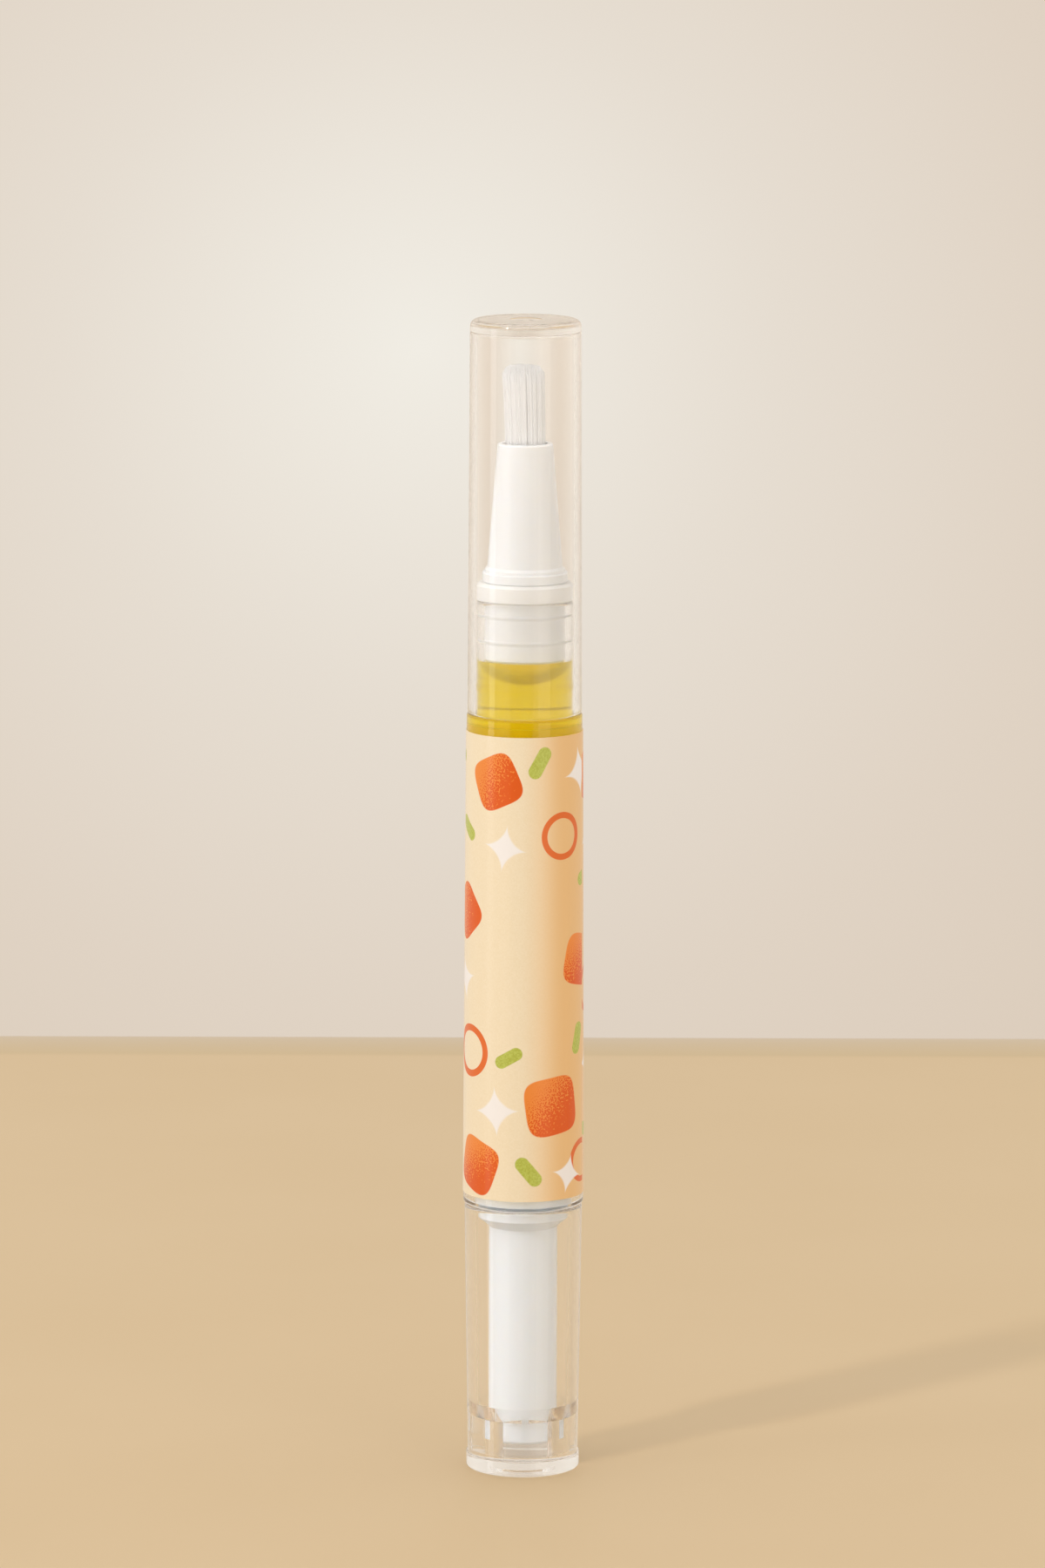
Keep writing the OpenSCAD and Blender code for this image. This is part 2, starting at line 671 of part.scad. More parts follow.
// The tuft: square strands that rise from a melted root as one skin
module brush_bristles() {
    n = line_n;
    floor_points = [for (j = [0:n - 1], i = [0:n - 1])
        let (p = in_oval(grid_line(i), grid_line(j), tuft_w, tuft_t)) [p[0], p[1], root_top_z]];
    tip_points = [for (j = [0:n - 1], i = [0:n - 1])
        let (p = tuft_flare*in_oval(grid_line(i), grid_line(j), tuft_w, tuft_t))
        [p[0], p[1], strand_top(floor(i/2), floor(j/2))]];
    rim = concat([for (i = [0:n - 2]) i], [for (j = [0:n - 2]) j*n + n - 1],
                 [for (i = [n - 1:-1:1]) (n - 1)*n + i], [for (j = [n - 1:-1:1]) j*n]);
    rim_n = len(rim);
    rim_points = [for (z = [root_top_z, root_z], k = rim)
        let (p = in_oval(grid_line(k%n), grid_line(floor(k/n)), root_w, root_t)) [p[0], p[1], z]];
    outer = 2*n*n;
    faces = concat(
        [for (j = [0:n - 2], i = [0:n - 2]) if (i%2 == 1 || j%2 == 1)
            let (a = j*n + i) each [[a, a + n, a + 1], [a + 1, a + n, a + n + 1]]],
        [for (j = [0:2:n - 2], i = [0:2:n - 2])
            let (a = j*n + i, b = a + n*n) each concat(
                [[b, b + n, b + 1], [b + 1, b + n, b + n + 1]],
                wall(a, a + 1, n*n), wall(a + 1, a + n + 1, n*n),
                wall(a + n + 1, a + n, n*n), wall(a + n, a, n*n))],
        [for (k = [0:rim_n - 1]) let (m = (k + 1)%rim_n) each [
            [rim[k], rim[m], outer + k], [rim[m], outer + m, outer + k],
            [outer + k, outer + m, outer + rim_n + k], [outer + m, outer + rim_n + m, outer + rim_n + k],
            [outer + rim_n + k, outer + rim_n + m, outer + 2*rim_n]]]);
    color([0.98, 0.98, 0.97])
    polyhedron(concat(floor_points, tip_points, rim_points, [[0, 0, root_z]]), faces);
}

// Two triangles up the side of a strand, between two floor points and their tips
function wall(a, b, up) = [[a, a + up, b], [b, a + up, b + up]];

// The cap: a clear tapered cup with a rounded top edge and a gate dimple
module cap() {
    color([0.94, 0.93, 0.91, 0.3])
    difference() {
        turned_round([[0, shoulder_z], [cap_rim_r - edge/2, shoulder_z], [cap_rim_r, shoulder_z + edge],
                      [cap_top_r, cap_top_z - cap_round], [cap_top_r - cap_round, cap_top_z],
                      [0, cap_top_z]], cap_round, [cap_top_r - cap_round, cap_top_z - cap_round]);
        turned_round([[0, shoulder_z - over], [cap_bore_r, shoulder_z - over], [cap_bore_r, shoulder_z],
                      [cap_ceiling_r, ceiling_z - edge], [cap_ceiling_r - edge, ceiling_z],
                      [0, ceiling_z]], edge, [cap_ceiling_r - edge, ceiling_z - edge]);
        difference() {
            translate([0, 0, cap_top_z - edge]) cylinder(r = dimple_d/2, h = edge + over);
            translate([0, 0, cap_top_z - 2*edge]) cylinder(r = pip_d/2, h = 2*edge - edge/2);
        }
    }
}

knob();
drive_core();
click_ring();
ratchet_ring();
thread_nut();
screw_rod();
piston();
barrel();
barrel_oil();
neck_oil();
label_wrap();
neck_connector();
feed_tube();
brush_cone();
brush_bristles();
cap();
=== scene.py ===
"""A twist-up nail oil pen, dressed round its CAD frame and lit like a small studio shot.

The pen stands on z = 0 with its axis on z, and the camera looks along +Y. Named lengths are in metres, or
in millimetres where the name ends in MM, and angles are in degrees where it ends in DEG. Shapes are drawn
in millimetres and made in metres.
"""
import math

import bpy
from mathutils import Matrix, Vector


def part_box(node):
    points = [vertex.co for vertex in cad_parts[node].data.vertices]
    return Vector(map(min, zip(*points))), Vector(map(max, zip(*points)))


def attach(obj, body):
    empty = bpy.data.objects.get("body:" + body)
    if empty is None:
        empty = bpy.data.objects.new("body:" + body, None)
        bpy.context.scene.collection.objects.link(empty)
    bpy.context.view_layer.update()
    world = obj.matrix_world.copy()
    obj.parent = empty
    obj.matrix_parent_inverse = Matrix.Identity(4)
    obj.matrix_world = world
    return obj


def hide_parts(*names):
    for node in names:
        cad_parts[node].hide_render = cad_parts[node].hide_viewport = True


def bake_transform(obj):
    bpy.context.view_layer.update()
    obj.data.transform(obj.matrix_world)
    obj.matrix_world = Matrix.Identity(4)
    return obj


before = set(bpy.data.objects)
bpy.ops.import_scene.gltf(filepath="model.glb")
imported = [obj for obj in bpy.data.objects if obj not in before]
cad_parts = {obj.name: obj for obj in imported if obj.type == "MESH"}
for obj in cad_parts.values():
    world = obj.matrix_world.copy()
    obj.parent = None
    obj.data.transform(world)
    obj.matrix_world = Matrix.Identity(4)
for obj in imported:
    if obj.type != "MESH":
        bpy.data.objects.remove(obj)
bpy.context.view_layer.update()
MM = 0.001
SHARP_DEG = 25
bpy.context.scene.view_settings.view_transform = "Standard"


# Colours, nodes and meshes

def tint(code):
    """A linear colour from an sRGB hex code."""
    parts = [int(code[i:i + 2], 16) / 255 for i in (1, 3, 5)]
    return (*[c / 12.92 if c <= 0.04045 else ((c + 0.055) / 1.055) ** 2.4 for c in parts], 1.0)


def add(tree, kind, inputs=None, **settings):
    """Adds a node with its settings; inputs maps a socket to a value or to another socket."""
    made = tree.nodes.new(kind)
    for key, value in settings.items():
        setattr(made, key, value)
    for key, value in (inputs or {}).items():
        socket = made.inputs[key]
        if isinstance(value, bpy.types.NodeSocket):
            tree.links.new(value, socket)
        else:
            socket.default_value = value
    return made


def new_material(name):
    """An empty material and its node tree."""
    made = bpy.data.materials.new(name)
    made.use_nodes = True
    made.node_tree.nodes.clear()
    return made, made.node_tree


def finish_surface(tree, shader, volume=None):
    """Joins the last shader to the material's output."""
    links = {"Surface": shader.outputs[0]}
    if volume:
        links["Volume"] = volume.outputs[0]
    add(tree, "ShaderNodeOutputMaterial", links)


def object_millimetres(tree):
    """Object coordinates in millimetres, for patterns of a real scale."""
    place = add(tree, "ShaderNodeTexCoord").outputs["Object"]
    return add(tree, "ShaderNodeMapping", {"Vector": place, "Scale": (1 / MM,) * 3}).outputs[0]


def noise_bump(tree, waves_per_mm, height_mm, detail=2.0):
    """Shallow dents of a real width and depth."""
    wave = add(tree, "ShaderNodeTexNoise", {
        "Vector": object_millimetres(tree), "Scale": waves_per_mm, "Detail": detail}).outputs[0]
    return add(tree, "ShaderNodeBump", {"Height": wave, "Distance": height_mm * MM}).outputs[0]


def layered(tree, colour, *layers):
    """A colour with others laid over it in turn, each where its mask is one."""
    for mask, over in layers:
        colour = add(tree, "ShaderNodeMix", {0: mask, 6: colour, 7: over}, data_type="RGBA").outputs[2]
    return colour


def highest(tree, masks):
    """The highest of several masks."""
    joined = masks[0]
    for mask in masks[1:]:
        joined = add(tree, "ShaderNodeMath", {0: joined, 1: mask}, operation="MAXIMUM").outputs[0]
    return joined


# A lamp's light meets a clear shell's near wall at transparent depths 0 and 1, and its far wall past this
FAR_WALL_DEPTH = 1.5


def let_lamps_through(tree, glass, shade, far_shade=None):
    """Glass for sight and a tinted window for lamps, so that what it holds is lit.

    Light that crosses the far wall too is dimmed to the far shade, because a clear tube bends some aside.
    """
    path = add(tree, "ShaderNodeLightPath").outputs
    if far_shade:
        crossed = add(tree, "ShaderNodeMath", {0: path["Transparent Depth"], 1: FAR_WALL_DEPTH},
                      operation="GREATER_THAN").outputs[0]
        shade = layered(tree, shade, (crossed, far_shade))
    window = add(tree, "ShaderNodeBsdfTransparent", {"Color": shade})
    return add(tree, "ShaderNodeMixShader", {
        0: path["Is Shadow Ray"], 1: glass.outputs[0], 2: window.outputs[0]})


def new_piece(name, points, faces, *materials):
    """A mesh at the origin, smooth but for its sharp edges; its first material covers every face."""
    mesh = bpy.data.meshes.new(name)
    mesh.from_pydata(points, [], faces)
    mesh.shade_smooth()
    mesh.set_sharp_from_angle(angle=math.radians(SHARP_DEG))
    for material in materials:
        mesh.materials.append(material)
    made = bpy.data.objects.new(name, mesh)
    bpy.context.scene.collection.objects.link(made)
    return made


# Plastics, oil and bristle

# Light mirrored more often than this inside clear plastic comes out as the plastic's pale glow
TRAPPED_AFTER = 3.5


def clear_styrene(name, haze, far_shade=None):
    """Moulded clear styrene-acrylonitrile: glassy, with the mould's slight ripple and a warm haze."""
    made, tree = new_material(name)
    glass = add(tree, "ShaderNodeBsdfPrincipled", {
        "Base Color": tint("#FFFFFF"), "Roughness": 0.05, "IOR": 1.57, "Transmission Weight": 1.0,
        "Specular Tint": tint("#C8C8C8"),
        "Normal": noise_bump(tree, waves_per_mm=0.15, height_mm=0.0004)})
    cloud = add(tree, "ShaderNodeBsdfTranslucent", {"Color": tint("#FFEBD0")})
    glow = add(tree, "ShaderNodeBsdfTranslucent", {"Color": tint("#E9E6E3")})
    mirrored = add(tree, "ShaderNodeLightPath").outputs["Glossy Depth"]
    trapped = add(tree, "ShaderNodeMath", {0: mirrored, 1: TRAPPED_AFTER},
                  operation="GREATER_THAN").outputs[0]
    hazy = add(tree, "ShaderNodeMixShader", {0: haze, 1: glass.outputs[0], 2: cloud.outputs[0]})
    lively = add(tree, "ShaderNodeMixShader", {0: trapped, 1: hazy.outputs[0], 2: glow.outputs[0]})
    finish_surface(tree, let_lamps_through(tree, lively, tint("#FEFDFC"), far_shade))
    return made


def yellow_oil(name):
    """Sweet almond oil with a yellow dye: clear, and deeper in colour where it is thicker.

    It wets the plastic round it, so its sides have little shine of their own.
    """
    made, tree = new_material(name)
    glass = add(tree, "ShaderNodeBsdfPrincipled", {
        "Base Color": tint("#FFE80A"), "Roughness": 0.02, "IOR": 1.47, "Transmission Weight": 0.72,
        "Specular Tint": tint("#606060")})
    dye = add(tree, "ShaderNodeVolumeAbsorption", {"Color": tint("#FFFD00"), "Density": 360.0})
    finish_surface(tree, let_lamps_through(tree, glass, tint("#FFFAC4")), dye)
    return made


def satin_white_plastic(name, colour):
    """Moulded white polypropylene, acetal or polyethylene: satin, with light sinking a little into it."""
    made, tree = new_material(name)
    finish_surface(tree, add(tree, "ShaderNodeBsdfPrincipled", {
        "Base Color": tint(colour), "Roughness": 0.2, "IOR": 1.49,
        "Subsurface Weight": 0.25, "Subsurface Radius": (0.0012, 0.001, 0.0008), "Subsurface Scale": 1.0,
        "Normal": noise_bump(tree, waves_per_mm=1.5, height_mm=0.004, detail=4.0)}))
    return made


def natural_polypropylene(name):
    """Unpigmented polypropylene: milky and see-through at its edges, with a soft shine."""
    made, tree = new_material(name)
    milky = add(tree, "ShaderNodeBsdfPrincipled", {
        "Base Color": tint("#FAF8F3"), "Roughness": 0.28, "IOR": 1.49, "Transmission Weight": 0.15,
        "Subsurface Weight": 0.3, "Subsurface Radius": (0.002, 0.0018, 0.0015), "Subsurface Scale": 1.0,
        "Normal": noise_bump(tree, waves_per_mm=1.2, height_mm=0.005, detail=3.0)})
    finish_surface(tree, let_lamps_through(tree, milky, tint("#F4F3F0")))
    return made


def nylon_filament(name):
    """Drawn nylon filament: white, letting light through to the next strand, with a silky shine."""
    made, tree = new_material(name)
    strand = add(tree, "ShaderNodeBsdfPrincipled", {
        "Base Color": tint("#F8F7F6"), "Roughness": 0.38, "IOR": 1.53})
    through = add(tree, "ShaderNodeBsdfTranslucent", {"Color": tint("#FEFDFB")})
    nylon = add(tree, "ShaderNodeMixShader", {0: 0.5, 1: strand.outputs[0], 2: through.outputs[0]})
    finish_surface(tree, let_lamps_through(tree, nylon, tint("#F6F6F6")))
    return made


# The printed wrap: plain shapes placed on the flat film, whose free end lies over its start

WRAP_RADIUS_MM = 7.05
WRAP_LENGTH_MM = math.tau * WRAP_RADIUS_MM
FREE_END_MM = 9.1

# Each shape: its way round the film from the front, its height and half its size in mm, its turn in degrees
TILES = (
    (-3.6, 82.3, 3.0, 24), (8.3, 61.0, 3.0, -12), (-9.0, 66.6, 2.9, 40), (3.6, 44.2, 3.4, 8),
    (-6.4, 36.9, 3.1, -20), (-17.2, 78.5, 3.3, 10), (-20.6, 55.5, 3.2, -30), (-14.8, 42.6, 2.9, 15),
    (-29.4, 68.4, 3.4, 33), (-27.2, 46.8, 3.0, -8), (-32.6, 82.4, 2.8, 5), (-23.6, 36.6, 2.8, 28))
RINGS = (
    (4.9, 75.9, 2.8, 0), (-7.6, 50.3, 3.1, 0), (8.6, 37.2, 2.6, 0), (-24.4, 83.0, 2.8, 0),
    (-13.8, 59.8, 2.7, 0), (-33.0, 57.2, 2.9, 0), (-20.8, 67.6, 2.4, 0))
PILLS = (
    (1.9, 84.6, 2.0, 60), (-8.6, 76.4, 1.9, -35), (9.6, 70.8, 1.9, 20), (-1.8, 50.0, 1.8, 30),
    (7.6, 51.8, 1.9, 74), (0.6, 36.6, 2.0, -50), (-11.6, 84.4, 1.8, 12), (-15.0, 70.0, 1.9, 80),
    (-26.0, 75.6, 1.9, -20), (-13.4, 50.6, 1.8, -60), (-26.2, 57.4, 2.0, 35), (-33.4, 40.4, 1.9, -15),
    (-18.4, 36.0, 1.7, 50))
SPARKS = (
    (8.2, 83.2, 2.9, 10), (-2.4, 74.6, 2.7, -8), (-9.4, 58.6, 2.6, 14), (-3.4, 43.6, 2.9, 4),
    (5.8, 36.0, 2.3, -12), (-19.6, 85.0, 2.4, 0), (-32.2, 75.0, 2.6, 18), (-19.4, 47.4, 2.8, -10),
    (-33.0, 48.6, 2.5, 6), (-29.0, 38.4, 2.6, -16), (-25.4, 63.0, 2.2, 8))

# Shares of half a shape's size: half the width of a ring's line, and the rounding of a pill's ends
RING_LINE = 0.13
PILL_ROUND = 0.42

# The power that hollows a spark's sides, and how softly the edge of any shape fades
SPARK_POWER = 0.62
PRINT_SOFTNESS = 0.06

# The way that a tile darkens, the size of the ground's grain, and the size of the stipple's dots
SHADE_WAY = (0.6, -0.7, 0.0)
GRAIN_MM = 0.16
DOT_MM = 0.22

# Where the cream ground fades to peach: right of the front, and again towards the film's start
PEACH_FADES_MM = ((-0.8, 5.4), (-14.0, -22.0))


def film_place(tree):
    """A point of the film laid flat, in millimetres: along it from the front, then height."""
    place = add(tree, "ShaderNodeSeparateXYZ", {0: object_millimetres(tree)}).outputs
    front = add(tree, "ShaderNodeMath", {0: place["Y"], 1: -1.0}, operation="MULTIPLY").outputs[0]
    angle = add(tree, "ShaderNodeMath", {0: place["X"], 1: front}, operation="ARCTAN2").outputs[0]
    along = add(tree, "ShaderNodeMath", {0: angle, 1: WRAP_RADIUS_MM}, operation="MULTIPLY").outputs[0]
    past_end = add(tree, "ShaderNodeMath", {0: along, 1: FREE_END_MM}, operation="GREATER_THAN").outputs[0]
    film = add(tree, "ShaderNodeMath", {0: past_end, 1: -WRAP_LENGTH_MM, 2: along},
               operation="MULTIPLY_ADD").outputs[0]
    return add(tree, "ShaderNodeCombineXYZ", {"X": film, "Y": place["Z"]}).outputs[0]


def tile_distance(tree, place):
    """Below one inside a square with very round corners."""
    square = add(tree, "ShaderNodeVectorMath", {0: place, 1: place}, operation="MULTIPLY").outputs[0]
    return add(tree, "ShaderNodeVectorMath", {0: square, 1: square},
               operation="DOT_PRODUCT").outputs["Value"]


def ring_distance(tree, place):
    """Below one inside a thin ring."""
    radius = add(tree, "ShaderNodeVectorMath", {0: place}, operation="LENGTH").outputs["Value"]
    off_line = add(tree, "ShaderNodeMath", {0: radius, 1: 1 - RING_LINE}, operation="SUBTRACT").outputs[0]
    size = add(tree, "ShaderNodeMath", {0: off_line}, operation="ABSOLUTE").outputs[0]
    return add(tree, "ShaderNodeMath", {0: size, 1: RING_LINE}, operation="DIVIDE").outputs[0]


def pill_distance(tree, place):
    """Below one inside a bar with round ends."""
    size = add(tree, "ShaderNodeVectorMath", {0: place}, operation="ABSOLUTE").outputs[0]
    straight = (1 - PILL_ROUND, 0, 0)
    past = add(tree, "ShaderNodeVectorMath", {0: size, 1: straight}, operation="SUBTRACT").outputs[0]
    beyond = add(tree, "ShaderNodeVectorMath", {0: past, 1: (0, 0, 0)}, operation="MAXIMUM").outputs[0]
    gap = add(tree, "ShaderNodeVectorMath", {0: beyond}, operation="LENGTH").outputs["Value"]
    return add(tree, "ShaderNodeMath", {0: gap, 1: PILL_ROUND}, operation="DIVIDE").outputs[0]


def spark_distance(tree, place):
    """Below one inside a star of four points with hollow sides."""
    size = add(tree, "ShaderNodeVectorMath", {0: place}, operation="ABSOLUTE").outputs[0]
    parts = add(tree, "ShaderNodeSeparateXYZ", {0: size}).outputs
    across = add(tree, "ShaderNodeMath", {0: parts["X"], 1: SPARK_POWER}, operation="POWER").outputs[0]
    upward = add(tree, "ShaderNodeMath", {0: parts["Y"], 1: SPARK_POWER}, operation="POWER").outputs[0]
    return add(tree, "ShaderNodeMath", {0: across, 1: upward}, operation="ADD").outputs[0]


def shape_places(tree, film, shapes):
    """The film as each shape of a list has it: its middle at nought, and its edge at one."""
    places = []
    for along, height, half, turn_deg in shapes:
        places.append(add(tree, "ShaderNodeMapping", {
            "Vector": film, "Location": (along, height, 0), "Rotation": (0, 0, math.radians(turn_deg)),
            "Scale": (half,) * 3}, vector_type="TEXTURE").outputs[0])
    return places


def printed(tree, distance, places):
    """A mask for each place, one where its shape is printed."""
    masks = []
    for place in places:
        masks.append(add(tree, "ShaderNodeMapRange", {
            "Value": distance(tree, place), 1: 1 + PRINT_SOFTNESS, 2: 1 - PRINT_SOFTNESS,
            3: 0.0, 4: 1.0}).outputs[0])
    return masks


def shaded(tree, places, masks):
    """How far the print darkens across each shape, from none at one corner to one at the other."""
    shades = []
    for place, mask in zip(places, masks):
        across = add(tree, "ShaderNodeVectorMath", {0: place, 1: SHADE_WAY},
                     operation="DOT_PRODUCT").outputs["Value"]
        depth = add(tree, "ShaderNodeMath", {0: across, 1: 0.5, 2: 0.5},
                    operation="MULTIPLY_ADD").outputs[0]
        shades.append(add(tree, "ShaderNodeMath", {0: depth, 1: mask}, operation="MULTIPLY").outputs[0])
    return shades


def printed_film(name):
    """Printed polypropylene film: flat inks with a stippled shade on cream, under an even satin shine."""
    made, tree = new_material(name)
    film = film_place(tree)
    grid = add(tree, "ShaderNodeVectorMath", {0: film, 1: (GRAIN_MM,) * 3}, operation="SNAP").outputs[0]
    grain = add(tree, "ShaderNodeTexWhiteNoise", {"Vector": grid}, noise_dimensions="2D").outputs["Value"]
    along = add(tree, "ShaderNodeSeparateXYZ", {0: film}).outputs["X"]
    fades = [add(tree, "ShaderNodeMapRange", {"Value": along, 1: start, 2: end},
                 interpolation_type="SMOOTHSTEP").outputs[0] for start, end in PEACH_FADES_MM]

    tile_places = shape_places(tree, film, TILES)
    tiles = printed(tree, tile_distance, tile_places)
    depth = highest(tree, shaded(tree, tile_places, tiles))
    dots = add(tree, "ShaderNodeTexVoronoi", {"Vector": film, "Scale": 1 / DOT_MM},
               voronoi_dimensions="2D").outputs[0]
    stipple = add(tree, "ShaderNodeMath", {0: depth, 1: dots}, operation="GREATER_THAN").outputs[0]
    rings = printed(tree, ring_distance, shape_places(tree, film, RINGS))
    pills = printed(tree, pill_distance, shape_places(tree, film, PILLS))
    sparks = printed(tree, spark_distance, shape_places(tree, film, SPARKS))

    cream = layered(tree, tint("#F9E4C0"), (grain, tint("#F6E0B9")))
    green = layered(tree, tint("#C6CA5E"), (grain, tint("#B5B648")))
    orange = layered(tree, tint("#F58E3C"), (stipple, tint("#E65F1A")))
    inks = layered(tree, cream, (highest(tree, fades), tint("#F2C284")),
                   (highest(tree, rings), tint("#E86F2C")), (highest(tree, pills), green),
                   (highest(tree, sparks), tint("#FBF1E6")), (highest(tree, tiles), orange))
    print_side = add(tree, "ShaderNodeBsdfPrincipled", {
        "Base Color": inks, "Roughness": 0.24, "IOR": 1.5, "Specular IOR Level": 0.3,
        "Normal": noise_bump(tree, waves_per_mm=0.25, height_mm=0.006)})
    finish_surface(tree, let_lamps_through(tree, print_side, tint("#E4D8C2")))
    return made


def film_backing(name):
    """The film's white adhesive back, which daylight comes through and which the clear barrel shows."""
    made, tree = new_material(name)
    coat = add(tree, "ShaderNodeBsdfPrincipled", {
        "Base Color": tint("#FCF4E6"), "Roughness": 0.5, "IOR": 1.5})
    through = add(tree, "ShaderNodeBsdfTranslucent", {"Color": tint("#FCF4E6")})
    back = add(tree, "ShaderNodeMixShader", {0: 0.6, 1: coat.outputs[0], 2: through.outputs[0]})
    finish_surface(tree, let_lamps_through(tree, back, tint("#F0EADE")))
    return made


# Camera and lamps

CAMERA_LENS_MM = 181.54
CAMERA_SENSOR_MM = 36
CAMERA_CLIP = (0.01, 50)
CAMERA_PLACE = (-0.00022, -0.9037, 0.2336)
CAMERA_TILT_DEG = 90 - 9.58
CAMERA_ROLL_DEG = 0.16

PEN_MIDDLE = (0, 0, 0.07)

# Each lamp: name, azimuth and elevation in degrees, distance, width and height in metres, watts, colour
LAMPS = (
    ("key", -46, 42, 1.6, 0.09, 0.09, 5.0, "#F6F9FF"),
    ("left_softbox", -70, 0, 1.0, 0.24, 1.1, 1.6, "#EEF4FF"),
    ("right_card", 40, 0, 1.1, 0.5, 0.9, 1.4, "#FFF6EC"))


def place_camera():
    """The photograph's camera: long lens, a little above the pen and looking down."""
    data = bpy.data.cameras.new("camera")
    data.lens = CAMERA_LENS_MM
    data.sensor_width = CAMERA_SENSOR_MM
    data.clip_start, data.clip_end = CAMERA_CLIP
    camera = bpy.data.objects.new("camera", data)
    tilt = Matrix.Rotation(math.radians(CAMERA_TILT_DEG), 4, "X")
    roll = Matrix.Rotation(math.radians(CAMERA_ROLL_DEG), 4, "Z")
    camera.matrix_world = Matrix.Translation(CAMERA_PLACE) @ tilt @ roll
    bpy.context.scene.collection.objects.link(camera)
    bpy.context.scene.camera = camera


def add_softbox(name, azimuth_deg, elevation_deg, distance, width, height, watts, colour):
    """A rectangular lamp facing the pen's middle; azimuth grows from the camera's side to the right."""
    data = bpy.data.lights.new(name, "AREA")
    data.shape = "RECTANGLE"
    data.size = width
    data.size_y = height
    data.energy = watts
    data.color = tint(colour)[:3]
    lamp = bpy.data.objects.new(name, data)
    azimuth = Matrix.Rotation(math.radians(azimuth_deg), 4, "Z")
    elevation = Matrix.Rotation(math.radians(90 - elevation_deg), 4, "X")
    away = Matrix.Translation((0, 0, distance))
    lamp.matrix_world = Matrix.Translation(PEN_MIDDLE) @ azimuth @ elevation @ away
    lamp.visible_camera = False
    lamp.visible_transmission = False
    bpy.context.scene.collection.objects.link(lamp)


# The board under the pen, whose back edge bends down

TABLE_FRONT = -0.4
TABLE_HALF = 0.45
TABLE_THICK = 0.03
TABLE_TOP = -0.05 * MM
BEND_START_MM = 239
BEND_LINE_MM = 2
BEND_HORIZON_MM = 267.5
BEND_RADIUS = 0.144
BEND_DEG = 30
BEND_STEPS = 60

# Where a pool of light is painted on the board under the pen's clear foot, standing in for the light that
# the foot gathers
PAINTED_POOL_EDGE_MM = (5.9, 6.4)


def painted_board(name):
    """Matt tan paint with a roller's faint mottle, a painted pool of light under the pen's foot, and
    painted shade down the bend at its back.
    """
    made, tree = new_material(name)
    place = object_millimetres(tree)
    mottle = add(tree, "ShaderNodeTexNoise", {"Vector": place, "Scale": 0.02, "Detail": 3.0}).outputs[0]
    from_pen = add(tree, "ShaderNodeVectorMath", {0: place}, operation="LENGTH").outputs["Value"]
    # Painted light: the board is lighter in a disc under the pen's clear foot
    painted_light_pool = add(tree, "ShaderNodeMapRange", {
        "Value": from_pen, 1: PAINTED_POOL_EDGE_MM[0], 2: PAINTED_POOL_EDGE_MM[1], 3: 1.0, 4: 0.0}).outputs[0]
    back = add(tree, "ShaderNodeSeparateXYZ", {0: place}).outputs["Y"]
    bend_shade_mask = add(tree, "ShaderNodeMapRange", {
        "Value": back, 1: BEND_START_MM, 2: BEND_START_MM + BEND_LINE_MM}).outputs[0]
    bend_shade_fade = add(tree, "ShaderNodeMapRange", {
        "Value": back, 1: BEND_START_MM, 2: BEND_HORIZON_MM}).outputs[0]
    # Painted shade: darker where the back edge starts to bend, fading down the bend towards the backdrop's
    # colour
    bend = layered(tree, tint("#D5B482"), (bend_shade_fade, tint("#D8BE9D")))
    paint = layered(tree, tint("#DBB887"), (mottle, tint("#E0BE8F")), (painted_light_pool, tint("#FFE8CA")),
                    (bend_shade_mask, bend))
    finish_surface(tree, add(tree, "ShaderNodeBsdfPrincipled", {
        "Base Color": paint, "Roughness": 0.55, "IOR": 1.4,
        "Normal": noise_bump(tree, waves_per_mm=4.0, height_mm=0.003)}))
    return made


def make_table():
    """The pale board under the pen, whose back edge bends down softly where the photograph's does."""
    profile = [(TABLE_FRONT, TABLE_TOP - TABLE_THICK), (TABLE_FRONT, TABLE_TOP)]
    for i in range(BEND_STEPS + 1):
        turn = math.radians(BEND_DEG * i / BEND_STEPS)
        back = BEND_START_MM * MM + BEND_RADIUS * math.sin(turn)
        profile.append((back, TABLE_TOP - BEND_RADIUS * (1 - math.cos(turn))))
    profile.append((profile[-1][0], TABLE_TOP - TABLE_THICK))
    count = len(profile)
    points = [(side * TABLE_HALF, *spot) for side in (-1, 1) for spot in profile]
    edges = [(i, i + count, (i + 1) % count + count, (i + 1) % count) for i in range(count)]
    ends = [tuple(range(count)), tuple(reversed(range(count, 2 * count)))]
    table = new_piece("table", points, edges + ends, painted_board("painted_board"))
    table.visible_glossy = False


# The backdrop is a ramp of colour by how far a direction lies from its bright centre
BACKDROP_CENTRE = (-0.0132, 0.9936, -0.1115)
BACKDROP_STOPS = ((0.0, "#F1EDE4"), (0.045, "#E6DDD1"), (0.085, "#E0D3C4"), (0.12, "#DCCDBC"),
                  (0.35, "#E6DBCD"), (0.9, "#F2EADF"))

# The dim room lies behind the camera, between these cosines of the angle from its middle
DIM_ROOM_WAY = (-0.1, -0.985, -0.14)
DIM_ROOM_EDGE = (0.9, 0.94)
DIM_ROOM_COLOUR = "#40382F"
FILL_COLOUR = "#EDF5FF"
FILL_STRENGTH = 0.97


